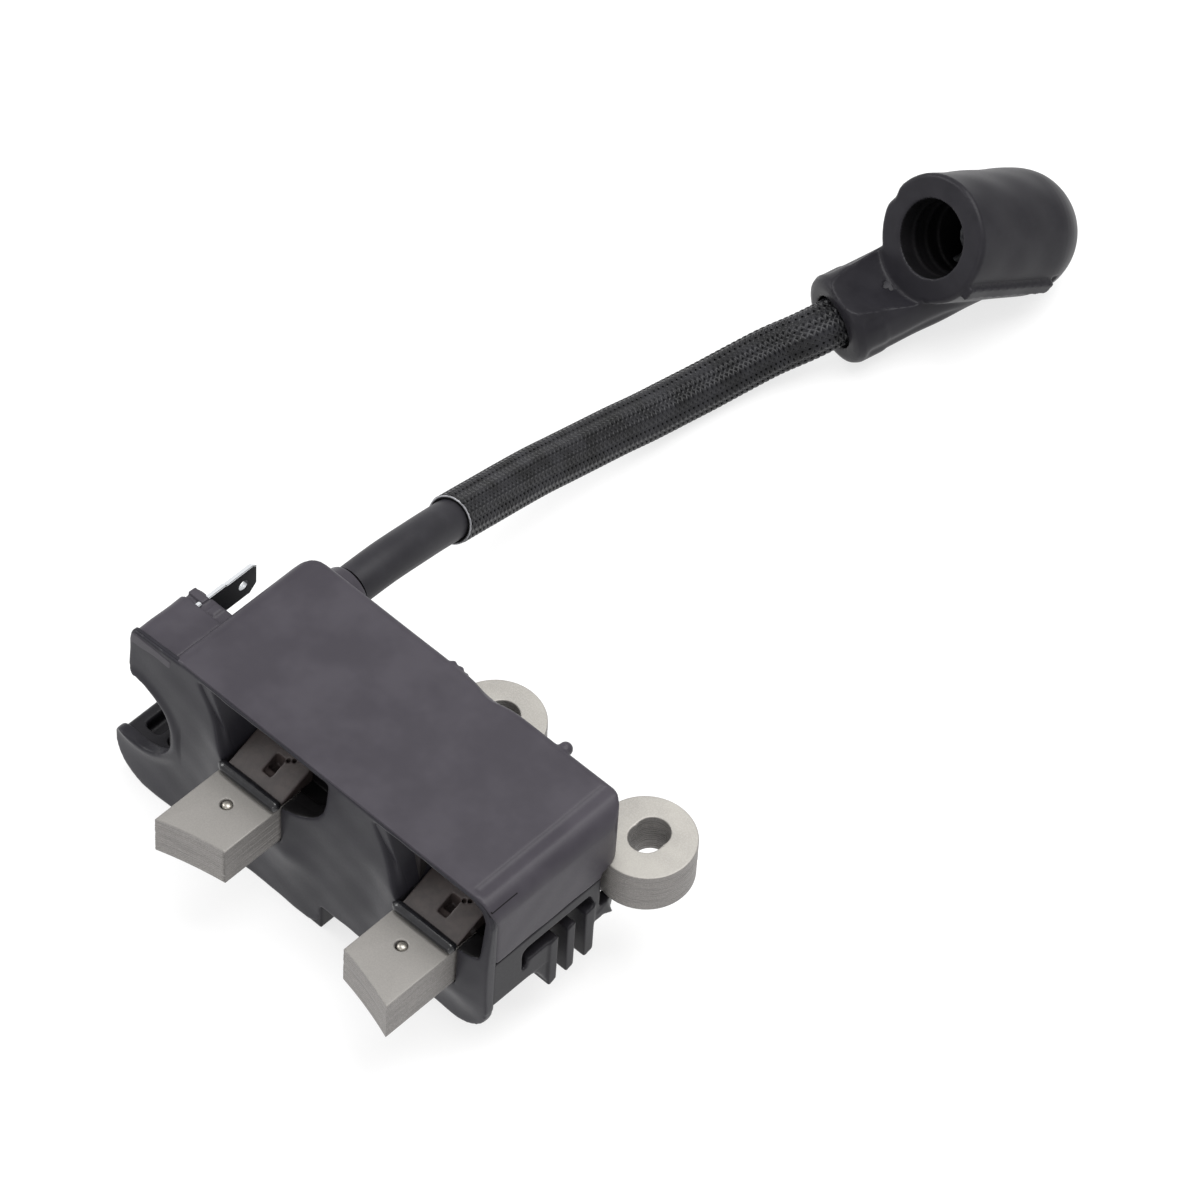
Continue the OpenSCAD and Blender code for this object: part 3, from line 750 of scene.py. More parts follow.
def cover_solid():
    """The cover as one moulding, hollowed, grooved and cut for the windows, the legs and the core; the flange
    is made apart.
    """
    side = 1.3
    plan = round_outline(
        [(cover_x0, -33.9, 0), (cover_x1, -33.9, side), (cover_x1, cover_y1, 5), (cover_x0, cover_y1, 5)]
    )
    front = round_outline(
        [
            (cover_x0, seam_z, 0),
            (cover_x1, seam_z, 0),
            (cover_x1, cover_top, 3.8),
            (cover_x0, cover_top, 2.6),
        ],
        10,
    )
    end_corners = [(-40, seam_z, 0), (cover_y1, seam_z, 0), (cover_y1, cover_top, 1.2), (-40, cover_top, 0)]
    end = round_outline(end_corners)
    thing = joined(prism(plan, "Z", seam_z, cover_top))
    carve(thing, prism(front, "Y", -40, 0), "INTERSECT")
    carve(thing, prism(end, "X", -60, 20), "INTERSECT")
    hollow_low = (cover_x0 + wall, cover_y0 + wall, 0)
    hollow_high = (cover_x1 - wall, cover_y1 - wall, cover_top - wall)
    carve(thing, block(hollow_low, hollow_high))
    groove = [(cover_x1 - 5.6, cover_top + 1), (cover_x1 - 5.3, cover_top - 0.2)]
    groove += [(cover_x1 - 4.6, cover_top - 0.28)]
    groove += [(cover_x1 - 2.4, cover_top - 0.05), (cover_x1 - 1.5, cover_top + 1)]
    carve(thing, prism(groove, "Y", -33.0, 0))
    for window in windows:
        low = (window["leg"] - 9, cover_y0 + wall - 0.2, window_low - 0.6)
        high = (window["leg"] + 2.2, cap_y1 + 0.35, cover_top - wall + 0.2)
        carve(thing, block(low, high), "UNION")
        carve(thing, window_tool(window))
    for x in pole_xs:
        carve(thing, leg_hole(x))
    back = [((leg_left_x - 1, cover_y1 - 3, 0), (lug_x, 0, stack_top + 0.15))]
    back += [((8, cover_y1 - 6, 0), (cover_x1 + 1, 0, stack_top + 0.15))]
    for low, high in back:
        carve(thing, block(low, high))
    return thing


def mould_flash():
    """Small leftovers along the cover's back edge: three beads and a round gate mark."""
    beads = [(-21.6, -4.1, 20.2, 0.6), (-20.3, -4.0, 19.8, 0.7)]
    beads += [(-19.0, -4.1, 19.6, 0.55), (1.4, -3.4, 19.6, 1.2)]
    made = []
    for x, y, z, radius in beads:
        ball = bmesh.new()
        bmesh.ops.create_icosphere(ball, subdivisions=3, radius=radius)
        made.append(moved(ball, Matrix.Translation((x, y, z))))
    return made


def soften_cover(points):
    x, y, z = points.T
    top = ease(z, 18.5, cover_top)
    hollow = np.exp(-(((x + 13) / 3.0) ** 2) - ((y - cover_y1) / 1.6) ** 2)
    points[:, 1] -= 1.0 * hollow * top
    across = np.cos(np.clip((x + 20) / 26, -1, 1) * math.pi / 2)
    sag = 0.16 * across * np.cos(np.clip((y + 19) / 13, -1, 1) * math.pi / 2)
    points[:, 2] -= (sag + 0.05 * ripple(x, y, 17)) * top
    points[:, 0] += 0.06 * ripple(y, z, 9) * ease(x, cover_x1 - 2, cover_x1)
    return points


def in_pit(middles, normals):
    """The sill and the right wall of each window, beside its leg, which get painted black shade."""
    x, y, z = middles.T
    inside = np.zeros(len(x), bool)
    for window in windows:
        beside = (x > window["leg"] + pole_w - 0.1) & (x < window["right"] + 0.7)
        inside |= beside & (z > window_low - 1.5) & (z < cover_top - 1.2)
    return inside & (y > -36.2) & (y < cap_y1 + 0.5) & (normals[:, 1] > -0.45)


def by_window(middles, normals):
    """The sloping left wall of each window, which carries on the flange's surface and its darker painted
    shade.
    """
    x, y, z = middles.T
    picked = np.zeros(len(x), bool)
    for window in windows:
        picked |= (x > window["leg"] - 11.5) & (x < window["leg"] + 1.5)
    facing = (normals[:, 0] > 0.05) | (normals[:, 1] < -0.3)
    return picked & facing & (z > window_low - 1) & (z < cover_top - 1.05) & (y < cap_y1 + 0.2)


cover = cover_solid()
cover = carve(cover, joined(*mould_flash()), "UNION")
melt(cover, 0.28, 5)
reshape(cover, soften_cover)
# The windows' left walls take the flange's darker shade, and their sills and right walls are painted black as
# shade.
paint(cover, ("plate_moulding", by_window), ("window_shade_black", in_pit))
show(cover, "cover_moulding", "case_moulding", "coil", ["cover"])


def plate_outline():
    return round_outline(
        [
            (plate_x0, lying_z, 7),
            (-19.6, lying_z, 3),
            (-19.6, plate_right_z, 0.6),
            (cover_x1, plate_right_z, 7),
            (cover_x1, cover_top - 0.25, 4.2),
            (-50, cover_top - 0.25, 6),
            (-61.4, 20.0, 1.4),
            (-61.4, 10.4, 3.2),
            (-57.6, 8.4, 0.5),
            (-57.6, shelf_top + 0.2, 0.5),
            (plate_x0, shelf_top + 0.2, 2.2),
        ],
        8,
    )


def plate_solid():
    thing = joined(prism(plate_outline(), "Y", -36.4, -33.0))
    for x, z, radius in ((-59.6, 1.2, 7.6), (-59.6, 3.2, 6.9)):
        carve(thing, prism(circle(x, z, radius, 48), "Y", -40, -30))
    for window in windows:
        carve(thing, window_tool(window))
    for x in pole_xs:
        carve(thing, leg_hole(x))
    return thing


def plate_relief(points):
    """The flange is thin along its top edge, swells round each pole and is uneven like a thick skin."""
    x, y, z = points.T
    front = ease(-y, 33.6, 35.6)
    depth = 1.3 - 0.55 * ease(z, 9, 20.9) - 0.15 * ease(-z, 2, 12)
    for pole in pole_xs:
        dx = np.maximum(np.abs(x - pole - pole_w / 2) - pole_w / 2, 0)
        dz = np.maximum(np.abs(z - 4) - 5.0, 0)
        depth += 1.5 * np.exp(-((dx / 4.5) ** 2) - (dz / 5.0) ** 2)
    rim = np.hypot(x + 59.6, z - 1.6)
    depth += 0.45 * np.exp(-(((rim - 8.6) / 1.1) ** 2)) * (x < -50)
    depth += 0.14 * ripple(x, z, 15) + 0.05 * ripple(z, x, 6)
    wanted = cover_y0 - depth
    points[:, 1] = np.where(y < -33.8, y + front * (wanted + 36.4), y)
    return points


plate = plate_solid()
melt(plate, 0.28, 12)
reshape(plate, plate_relief)
# The flange's window sills are painted black as shade.
paint(plate, ("window_shade_black", in_pit))
show(plate, "plate_moulding", "plate_moulding", "coil", ["front_plate"])


# ---------- tray ----------

notch = {"y0": -26.4, "y1": -10.8, "top": 4.8}
fins = ((-21.1, -19.4), (-17.3, -15.6), (-13.3, -11.3))


def tray_solid():
    front = [(cover_x0, lying_z), (tray_step_x, lying_z)]
    front += [(tray_step_x, tray_right_z), (cover_x1, tray_right_z)]
    front += [(cover_x1, seam_z - 0.12), (cover_x0, seam_z - 0.12)]
    plan = round_outline(
        [(shelf_x0, -34.5, 0), (cover_x1, -34.5, 1.3), (cover_x1, cover_y1, 5), (shelf_x0, cover_y1, 5)]
    )
    shelf = round_outline(
        [(shelf_x0, lying_z, 5), (-45, lying_z, 0), (-45, shelf_top, 0), (shelf_x0, shelf_top, 1.2)]
    )
    thing = joined(prism(front, "Y", -34.4, cover_y1))
    carve(thing, prism(shelf, "Y", -34.4, cover_y1), "UNION")
    carve(thing, prism(plan, "Z", -20, 20), "INTERSECT")
    inner = (cover_x0 + wall, cover_y0 + wall)
    carve(thing, block((*inner, lying_z - 1), (tray_step_x - wall, cover_y1 - wall, seam_z + 1)))
    carve(thing, block((*inner, -8.2), (cover_x1 - wall, cover_y1 - wall, seam_z + 1)))
    for x0, x1 in ((-61.4, -58.2), (-56.7, -54.2)):
        well = round_outline([(x0, -31.4, 0.8), (x1, -31.4, 0.8), (x1, -10, 0.8), (x0, -10, 0.8)])
        carve(thing, prism(well, "Z", shelf_top - 2.4, 0))
    for x in pole_xs:
        carve(thing, leg_hole(x))
    carve(thing, block((leg_left_x - 1, cover_y1 - 3, -0.15), (lug_x, 0, 20)))
    carve(thing, block((8, cover_y1 - 6, -0.15), (cover_x1 + 1, 0, 20)))
    return thing


def end_slot():
    """The slot in the tray's right end, under the parting line: its left end hooks down."""
    low, high, top = notch["y0"], notch["y1"], notch["top"]
    outline = round_outline(
        [
            (low - 0.9, top, 1.6),
            (high - 1.6, top, 0.8),
            (high, 0.5, 0.4),
            (high, tray_right_z - 2, 0),
            (fins[0][1], tray_right_z - 2, 0),
            (fins[0][1], 1.0, 0.2),
            (low + 0.9, 1.2, 0.8),
            (low + 0.5, -0.6, 0.6),
            (low - 0.7, -0.2, 0.6),
        ]
    )
    return prism(outline, "X", cover_x1 - wall - 1, cover_x1 + 1)


def tongue():
    """The web between the tray's end wall and the first fin, with a curved lower edge."""
    outline = [(notch["y0"] + 0.6, 1.2), (fins[0][1], 1.2), (fins[0][1], -9.8), (-20.4, -9.9), (-21.2, -8.6)]
    outline += [(-22.0, -6.8), (-23.0, -5.2), (-24.2, -4.0), (-25.6, -3.3), (notch["y0"] - 0.4, tray_right_z)]
    outline += [(notch["y0"] - 0.4, tray_right_z + 0.6)]
    return prism(outline, "X", cover_x1 - wall, cover_x1 - 0.1)


tray = tray_solid()
carve(tray, end_slot())
carve(tray, tongue(), "UNION")
for y0, y1 in fins:
    foot = round_outline([(y0, -10.0, 0.4), (y1, -9.4, 0.4), (y1, 1.6, 0.3), (y0, 1.2, 0.3)])
    carve(tray, prism(foot, "X", cover_x1 - wall - 2.6, cover_x1 + 0.25), "UNION")
spur = prism([(-10.6, -1.6), (-8.4, -0.4), (-6.7, -4.6), (-8.4, -3.6)], "X", cover_x1 - 1.6, cover_x1 + 0.1)
carve(tray, spur, "UNION")
melt(tray, 0.27, 2)
show(tray, "tray_moulding", "tray_moulding", "coil", ["tray"])


# ---------- windows ----------


def leg_cap(window, name, node):
    """The sloping cap over one leg, with a slot down through its top and a small notch at its upper edge."""
    left, right = window["leg"] + 0.5, window["leg"] + pole_w - 0.2
    rise = math.tan(math.radians(25))
    low = stack_top + 0.15
    top_back = (cap_y1, low + 0.6 + rise * (cap_y1 - cap_y0))
    side = [(cap_y0 - 0.6, low), (cap_y0 - 0.6, low + 0.4), top_back, (cap_y1, low)]
    thing = joined(prism(side, "X", left - 0.1, right))
    slot_x = left + pole_w * 0.43
    slot = (slot_x, cap_y0 + 1.6, low + 0.2), (slot_x + 1.9, cap_y0 + 4.9, 30)
    carve(thing, block(*slot))
    step = (slot_x - 0.1, cap_y0 + 1.5, low), (slot_x + 2.0, cap_y0 + 2.9, low + 1.0)
    carve(thing, block(*step), "UNION")
    for x, y in ((left + 7.5, -30.0), (left + 8.3, -29.5)):
        carve(thing, prism(circle(x, y, 0.38, 16), "Z", low + 2, 30))
    melt(thing, 0.16, 2)
    return show(thing, name, "cap_plastic", "coil", [node])


def window_shade_walls(window, name):
    """Black walls behind a window and a black floor for the pit beside the leg: painted shade."""
    left, right = window["leg"] + 0.4, min(window["right"] + 0.3, cover_x1 - wall - 0.1)
    back = joined(block((left, cap_y1 - 0.1, stack_top + 0.2), (right, cap_y1 + 0.3, cover_top - wall - 0.05)))
    pit_low = (window["leg"] + pole_w - 0.3, cover_y0 + wall, stack_top + 0.2)
    pit = block(pit_low, (right, cap_y1, stack_top + 0.5))
    carve(back, pit, "UNION")
    melt(back, 0.15, 1)
    return show(back, name, "window_shade_black", "coil")


def lip_bar(window, name, node):
    """A glossy bar across the leg: it swells from a narrow left end and is round along its length."""
    bm = bmesh.new()
    start, end = window["leg"] - 0.5, window["leg"] + pole_w + 0.35
    rings = []
    for t in np.linspace(0, 1, 41):
        swell = min(1.0, (t / 0.10) ** 0.55) * min(1.0, ((1 - t) / 0.035) ** 0.5)
        swell = max(swell, 0.02) * (0.93 + 0.07 * math.sin(math.pi * t))
        x = start + (end - start) * t
        y = lip_y - 0.12 * (1 - t)
        ring = []
        for k in range(24):
            a = math.tau * k / 24
            across, up = 1.05 * math.cos(a), 1.0 * math.sin(a)
            ring.append(bm.verts.new((x, y + across * swell, stack_top + 0.85 + max(up, -0.75) * swell)))
        rings.append(ring)
    for a, b in zip(rings, rings[1:]):
        for k in range(24):
            j = (k + 1) % 24
            bm.faces.new((a[k], a[j], b[j], b[k]))
    bm.faces.new(rings[0])
    bm.faces.new(rings[-1])
    bmesh.ops.recalc_face_normals(bm, faces=bm.faces)
    return show(joined(bm), name, "lip_gloss", "coil", [node])


for window, side in zip(windows, ("left", "right")):
    leg_cap(window, f"leg_cap_{side}_moulding", f"leg_cap_{side}")
    window_shade_walls(window, f"window_shade_walls_{side}")
    lip_bar(window, f"lip_bar_{side}", f"lip_{side}")


# ---------- core ----------

interlock_y = -41.0
interlock_xs = tuple(x + 0.47 * pole_w for x in pole_xs)


def arc(middle, radius, start, end, steps):
    angles = np.linspace(math.radians(start), math.radians(end), steps + 1)
    return [(middle[0] + radius * math.cos(a), middle[1] + radius * math.sin(a)) for a in angles]


def rotor_arc(x0, x1, steps=14):
    """The ground face of one pole, between two places along X."""
    points = []
    for x in np.linspace(x0, x1, steps + 1):
        points.append((x, rotor_mid[1] + math.sqrt(rotor_r**2 - (x - rotor_mid[0]) ** 2)))
    return points


def lamination_rings():
    """One lamination's outline, anticlockwise, and its holes."""
    neck = lug_r - 2.5
    meet = math.degrees(math.atan2(-math.sqrt(lug_r**2 - (neck - lug_r) ** 2), neck - lug_r))
    yoke_meet = math.degrees(math.asin(yoke_y1 / lug_r))
    outline = [(leg_left_x, yoke_y1)]
    outline += rotor_arc(leg_left_x, leg_left_x + pole_w)
    outline += [(leg_left_x + pole_w, yoke_y0), (leg_right_x, yoke_y0)]
    outline += rotor_arc(leg_right_x, leg_right_x + pole_w)
    outline += [(leg_right_x + pole_w, yoke_y0 + 1), (lug_x - lug_r + neck, yoke_y0 + 1)]
    outline += arc((lug_x, 0), lug_r, meet, 180, 48)
    outline += [(lug_x - lug_r, yoke_y1)]
    outline += arc((-lug_x, 0), lug_r, yoke_meet, 180, 40)
    outline += [(-lug_x - lug_r, yoke_y1)]
    waist = math.degrees(math.asin(slot_step / slot_r))
    holes = []
    for x in (-lug_x, lug_x):
        holes.append(
            arc((x, slot_y + slot_step), slot_r, -waist, 180 + waist, 24)
            + arc((x, slot_y - slot_step), slot_r, 180 - waist, 360 + waist, 24)
        )
    for x in interlock_xs:
        holes.append(circle(x, interlock_y, 1.0, 24))
    return outline, holes


def inset(ring, amount):
    """The ring moved to its left by the amount, so an anticlockwise outline shrinks."""
    p = np.array(ring)
    before = p - np.roll(p, 1, 0)
    after = np.roll(p, -1, 0) - p
    before /= np.maximum(np.linalg.norm(before, axis=1), 1e-9)[:, None]
    after /= np.maximum(np.linalg.norm(after, axis=1), 1e-9)[:, None]
    normal = np.stack([-(before + after)[:, 1], (before + after)[:, 0]], 1)
    normal /= np.maximum(np.linalg.norm(normal, axis=1), 1e-9)[:, None]
    cosine = np.maximum((normal * np.stack([-after[:, 1], after[:, 0]], 1)).sum(1), 0.5)
    return p + normal * (amount / cosine)[:, None]


def lamination_stack():
    """Sixteen sheets with a fine step at each joint, and softly rolled edges at the top and the bottom."""
    outline, holes = lamination_rings()
    sheets = 16
    thick = stack_top / sheets
    sway_room = 0.025
    sway = np.random.default_rng(7).uniform(-sway_room, sway_room, (sheets, 2))
    levels = [(0.0, 0.2, sway[0]), (0.06, 0.07, sway[0]), (0.2, 0.0, sway[0])]
    for k in range(sheets):
        if k:
            levels.append((k * thick, 0.05, sway[k] / 2 + sway[k - 1] / 2))
            levels.append((k * thick + 0.05, 0.0, sway[k]))
        if k < sheets - 1:
            levels.append(((k + 1) * thick - 0.05, 0.0, sway[k]))
    top = stack_top
    levels += [(top - 0.24, 0.0, sway[-1]), (top - 0.07, 0.08, sway[-1]), (top, 0.26, sway[-1])]
    bm = bmesh.new()
    ends = ([], [])
    for ring, sense in [(outline, 1)] + [(hole, -1) for hole in holes]:
        rows = []
        for z, shrink, slide in levels:
            flat = inset(ring, sense * (shrink + sway_room))
            rows.append([bm.verts.new((x + slide[0], y + slide[1], z)) for x, y in flat])
        for a, b in zip(rows, rows[1:]):
            for i in range(len(a)):
                j = (i + 1) % len(a)
                bm.faces.new((a[i], a[j], b[j], b[i]))
        for end, row in zip(ends, (rows[0], rows[-1])):
            end += [bm.edges.get((row[i], row[(i + 1) % len(row)])) for i in range(len(row))]
    for end in ends:
        bmesh.ops.triangle_fill(bm, use_beauty=True, edges=end)
    bmesh.ops.recalc_face_normals(bm, faces=bm.faces)
    return joined(bm)


def interlock_studs():
    """The pressed studs that lock the sheets: a dome beside a crescent of shadow in each hole."""
    solids = []
    for x in interlock_xs:
        dome = [(0, 0.2), (0.86, 0.2), (0.86, stack_top - 0.5), (0.8, stack_top - 0.12)]
        dome += [(0.62, stack_top + 0.04), (0.34, stack_top + 0.13), (0, stack_top + 0.16)]
        solids.append(moved(turned(dome, 32), Matrix.Translation((x + 0.14, interlock_y, 0))))
    return joined(*solids)


stack = show(lamination_stack(), "lamination_stack", "lamination_steel", "coil", ["core"], 60)
stack.modifiers.new("even_shading", "WEIGHTED_NORMAL").keep_sharp = True
show(interlock_studs(), "interlock_studs", "pin_steel", "coil", ["core_interlocks"], 50)


# ---------- terminal block and stop tab ----------

tab_x = -58.0
tab_z = 15.9
tab_tip = -10.6
collar_y1 = -20.6


def terminal_solid():
    body = round_outline([(-61.4, 9.4, 1), (-52.4, 9.4, 0), (-52.4, 19.7, 0), (-61.4, 19.7, 1.9)])
    collar = round_outline([(-61.0, 10.4, 1), (-52.4, 10.4, 0), (-52.4, 19.0, 0), (-61.0, 19.0, 1.4)])
    thing = joined(prism(body, "Y", -34.3, -23.4))
    carve(thing, prism(collar, "Y", -33, collar_y1), "UNION")
    carve(thing, block((-60.7, -22.5, 18.6), (-57.6, -21.0, 19.5)), "UNION")
    carve(thing, block((-56.2, -23.0, 18.4), (-54.6, -20.9, 19.35)), "UNION")
    slit = (tab_x - 0.45, -26, tab_z - 3.2), (tab_x + 0.45, collar_y1 + 1, tab_z + 3.2)
    return carve(thing, block(*slit))


def soften_terminal(points):
    x, y, z = points.T
    points[:, 2] -= 0.22 * ease(y, -33.5, -24) * ease(z, 18, 19.6) - 0.06 * ripple(x, y, 5) * ease(z, 18, 19.6)
    points[:, 0] += 0.07 * ripple(y, z, 6)
    return points


terminal = terminal_solid()
melt(terminal, 0.2, 3)
reshape(terminal, soften_terminal)
show(terminal, "terminal_moulding", "case_moulding", "coil", ["terminal_block"])


def stop_blade():
    """The push-on blade: a shoulder near the collar, a bevelled tip, chamfered edges and a locking hole."""
    half = 3.15
    outline = [(-27.2, -half), (tab_tip - 1.5, -half), (tab_tip, 1.5 - half)]
    outline += [(tab_tip, half - 0.9), (tab_tip - 0.9, half - 0.25)]
    outline += [(collar_y1 + 3.6, half - 0.25), (collar_y1 + 3.3, half), (-27.2, half)]
    bm = prism([(y, z + tab_z) for y, z in outline], "X", tab_x - 0.4, tab_x + 0.4)
    edges = [e for e in bm.edges if abs(e.verts[0].co.x - e.verts[1].co.x) < 1e-6]
    bmesh.ops.bevel(bm, geom=edges, offset=0.14, segments=2, affect="EDGES")
    thing = joined(bm)
    carve(thing, prism(circle(tab_tip - 3.0, tab_z, 0.95, 40), "X", tab_x - 1, tab_x + 1))
    return thing


show(stop_blade(), "stop_blade", "tab_tin", "coil", ["stop_tab"], 30)


# ---------- lead tower ----------


def tower():
    profile = [(0, -2), (3.9, -2), (3.9, 0), (5.5, 0), (5.2, 0.25), (4.85, 0.8), (4.6, 1.8)]
    profile += [(4.15, 4.2), (3.95, 4.6), (3.6, 4.7), (0, 4.7)]
    face_back = Matrix.Rotation(math.radians(-90), 4, "X")
    where = Matrix.Translation((lead_exit[0], cover_y1, lead_exit[2]))
    return joined(moved(turned(profile, 64), where @ face_back))


show(tower(), "exit_tower", "case_moulding", "coil", ["lead_tower"], 35)


# ---------- braided sleeve ----------

bare_spans = 3.5
sleeve_path = lead_path[int(bare_spans * route_steps) :]


def path_frames(path):
    """A side and an upward direction at each point of a path, square to it."""
    ahead = np.gradient(path, axis=0)
    ahead /= np.linalg.norm(ahead, axis=1)[:, None]
    side = np.cross(ahead, (0, 0, 1.0))
    side /= np.linalg.norm(side, axis=1)[:, None]
    return side, np.cross(side, ahead)


def even_path(path, step):
    """The same path at points an even step apart, and how far along it each one lies."""
    lengths = np.r_[0, np.cumsum(np.linalg.norm(np.diff(path, axis=0), axis=1))]
    along = np.linspace(0, lengths[-1], int(lengths[-1] / step) + 1)
    return np.stack([np.interp(along, lengths, path[:, i]) for i in range(3)], 1), along


def braid():
    """Two sets of flat yarns wound against each other: each passes over and under the other set in turn."""
    carriers = 20
    lay = 21.0
    path, along = even_path(sleeve_path, 0.28)
    side, up = path_frames(path)
    verts, faces = [], []
    rows = 5
    for sense in (1, -1):
        for c in range(carriers):
            turn = sense * math.tau * along / lay + math.tau * c / carriers
            cross = turn * sense * 2 - math.tau * c * sense * 2 / carriers
            weave = np.sin(carriers * cross / 4 + math.pi * c + (0 if sense == 1 else math.pi))
            lift = 3.92 + 0.16 * weave
            base = len(verts)
            for k in range(rows):
                t = k / (rows - 1) * 2 - 1
                a = turn + t * 0.53 / lift
                radius = lift + 0.2 * (1 - t * t)
                ring = path + (radius * np.cos(a))[:, None] * side + (radius * np.sin(a))[:, None] * up
                verts.extend(ring)
            n = len(along)
            for k in range(rows - 1):
                for i in range(n - 1):
                    a = base + k * n + i
                    quad = (a, a + 1, a + n + 1, a + n)
                    faces.append(quad if sense == 1 else quad[::-1])
    data = bpy.data.meshes.new("braid")
    data.from_pydata([tuple(v) for v in verts], [], faces)
    made = bpy.data.objects.new("braid", data)
    bpy.context.scene.collection.objects.link(made)
    return made


def tube_along(path, radius_in, radius_out, steps=48):
    """A hollow tube along a path, open at both ends."""
    side, up = path_frames(path)
    bm = bmesh.new()
    rings = []
    for radius in (radius_out, radius_in):
        for i in range(len(path)):
            ring = []
            for k in range(steps):
                a = math.tau * k / steps
                ring.append(bm.verts.new(path[i] + radius * (math.cos(a) * side[i] + math.sin(a) * up[i])))
            rings.append(ring)
    n = len(path)
    order = rings[:n] + rings[n:][::-1] + rings[:1]
    for a, b in zip(order, order[1:]):
        for k in range(steps):
            j = (k + 1) % steps
            bm.faces.new((a[k], a[j], b[j], b[k]))
    bmesh.ops.recalc_face_normals(bm, faces=bm.faces)
    return joined(bm)


rim_path = even_path(sleeve_path[:5], 0.2)[0][:2]
rim = show(tube_along(rim_path, 3.9, 4.14), "braid_rim", "sleeve_fray", "coil")
yarns = show(braid(), "braid_yarns", "sleeve_braid", "coil", ["lead_sleeve"])
# Painted shade: a near-black tube under the yarns darkens the gaps between them.
gap_shade_path = even_path(sleeve_path, 1.5)[0]
gap_shade = show(tube_along(gap_shade_path, 3.6, 3.86), "braid_gap_shade_tube", "braid_gap_shade", "coil")


# ---------- boot ----------

boot_spot = Matrix.Translation(elbow)
for axis, angle in boot_turns:
    boot_spot = boot_spot @ Matrix.Rotation(math.radians(angle), 4, axis)
along_tube = boot_spot @ Matrix.Rotation(math.radians(90), 4, "X")
along_barrel = boot_spot @ Matrix.Rotation(math.radians(90 - boot_angle), 4, "X")


def through(points, matrix):
    """Points, one a row, carried through a 4 by 4 matrix."""
    m = np.array(matrix)
    return points @ m[:3, :3].T + m[:3, 3]


def boot_solid():
    r, tube_r = barrel_d / 2, tube_d / 2
    dome = [(r * math.sin(a), -r * math.cos(a)) for a in np.linspace(0, math.pi / 2, 16)]
    barrel = [(0, -r)] + dome[1:] + [(r, barrel_l - 0.5), (r - 0.5, barrel_l), (0, barrel_l)]
    tube = [(0, -2), (tube_r - 0.2, -2), (tube_r - 0.2, tube_l - 6.5), (tube_r, tube_l - 5.5)]
    tube += [(tube_r, tube_l - 1.4), (tube_r - 0.5, tube_l - 0.4), (tube_r - 1.6, tube_l), (0, tube_l)]
    thing = joined(moved(turned(tube, 96), along_tube))
    carve(thing, joined(moved(turned(barrel, 96), along_barrel)), "UNION")
    clear = [(0, barrel_l), (r + 0.4, barrel_l), (r + 4.2, barrel_l + 14), (0, barrel_l + 14)]
    carve(thing, moved(turned(clear, 96), along_barrel))
    ledge = [(r - 2, -2.6), (r + 1.0, -2.1), (r + 1.0, 0.2), (r - 2, 0.3)]
    carve(thing, moved(prism(ledge, "Z", -0.6, barrel_l - 0.4), along_barrel), "UNION")
    carve(thing, moved(block((r - 0.5, -2.9, -2.0), (r + 2, 0.9, -0.6)), along_barrel))
    return thing


def soften_boot(points):
    """Lengthwise flats along the cable tube, a nick in the mouth's rim and a slight unevenness."""
    local = through(points, along_tube.inverted())
    x, y, z = local.T
    radial = np.hypot(x, y)
    outside = ease(radial, tube_d / 2 - 1.2, tube_d / 2 - 0.4) * ease(z, 12, 20)
    outside = outside * ease(-z, 1.4 - tube_l, 3 - tube_l)
    lobes = 0.5 + 0.5 * np.cos(7 * np.arctan2(y, x) + 0.6)
    spread = np.hypot(*through(points, along_barrel.inverted()).T[:2])
    factor = 1 - 0.05 * lobes**3 * outside * (radial < tube_d / 2 + 0.3) * ease(spread, 11.5, 13)
    local = np.stack([x * factor, y * factor, z], 1)
    local = through(through(local, along_tube), along_barrel.inverted())
    angle = np.arctan2(local[:, 1], local[:, 0])
    near = np.exp(-(((np.mod(angle, math.tau) - math.radians(186)) / 0.13) ** 2))
    near = near * ease(local[:, 2], 19.5, 22)
    rim = ease(np.hypot(local[:, 0], local[:, 1]), 8.8, 10.6) * near
    local[:, :2] *= (1 - 0.06 * rim)[:, None]
    uneven = 0.10 * ripple(local[:, 2], angle * 8, 9) * ease(np.hypot(local[:, 0], local[:, 1]), 9, 10.5)
    local[:, :2] *= (1 + uneven / 11)[:, None]
    return through(local, along_barrel)


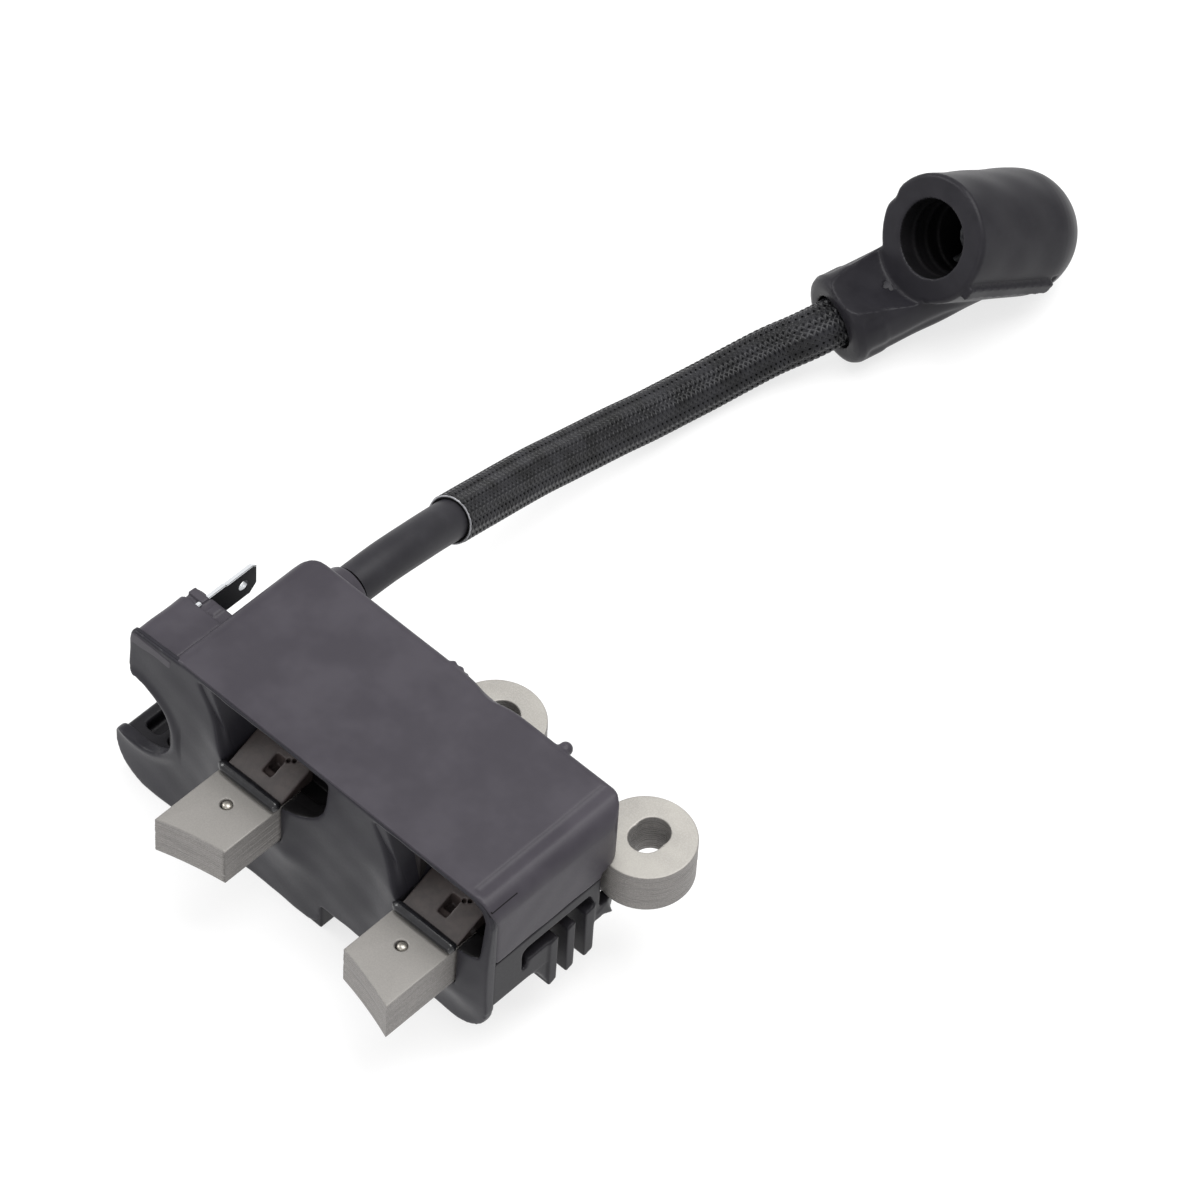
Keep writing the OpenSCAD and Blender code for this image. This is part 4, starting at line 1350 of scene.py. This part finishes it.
def boot_bores(thing):
    bore, inner = bore_d / 2, bore_d / 2 - 0.5
    mouth = barrel_l + 1
    deep = barrel_l - bore_depth
    steps = [(0, 2.0), (2.5, 2.0), (2.5, 3), (inner, 3), (inner, deep), (bore, deep), (bore, deep + 2.2)]
    steps += [(bore - 0.35, deep + 2.5), (bore - 0.35, deep + 3.1), (bore, deep + 3.4), (bore, deep + 5.6)]
    steps += [(bore - 0.3, deep + 5.9), (bore - 0.3, deep + 6.4), (bore, deep + 6.7)]
    steps += [(bore, mouth), (0, mouth)]
    carve(thing, moved(turned(steps, 96), along_barrel))
    lead_bore = [(0, tube_l - 10.9), (3.55, tube_l - 10.9), (3.55, tube_l - 4)]
    lead_bore += [(4.7, tube_l - 4), (4.7, tube_l + 1), (0, tube_l + 1)]
    return carve(thing, moved(turned(lead_bore, 64), along_tube))


boot = boot_bores(boot_solid())
melt(boot, 0.28, 3)
reshape(boot, soften_boot)


def in_bore(middles, normals):
    local = through(middles, along_barrel.inverted())
    radial = np.hypot(local[:, 0], local[:, 1])
    return (radial < bore_d / 2 + 0.25) & (local[:, 2] < barrel_l - 0.25) & (local[:, 2] > 1)


# The bore's walls are painted darker than the boot's rubber, as shade.
paint(boot, ("bore_shade_black", in_bore))
show(boot, "boot_moulding", "boot_rubber", "plug_boot", ["boot"])


# ---------- what the lead carries ----------

rides_on_lead = [yarns, gap_shade, rim, boot]
rides_on_lead += [frame["nodes"][n] for n in ("lead_end", "boot_clip", "boot_spring")]


# ---------- floor ----------


def pale_floor():
    bm = bmesh.new()
    corners = [bm.verts.new((x, y, 0)) for x, y in ((-3, -3), (3, -3), (3, 3), (-3, 3))]
    bm.faces.new(corners)
    data = bpy.data.meshes.new("floor")
    bm.to_mesh(data)
    bm.free()
    f = Finish("pale_floor")
    f.surface(Base_Color=f.mix(f.grain(40, 2), "#909090", "#949494"), Roughness=0.8, Specular_IOR_Level=0.1)
    f.surface(Emission_Color="#FFFFFF", Emission_Strength=0.72)
    data.materials.append(f.material)
    floor = bpy.data.objects.new("floor", data)
    bpy.context.scene.collection.objects.link(floor)


pale_floor()
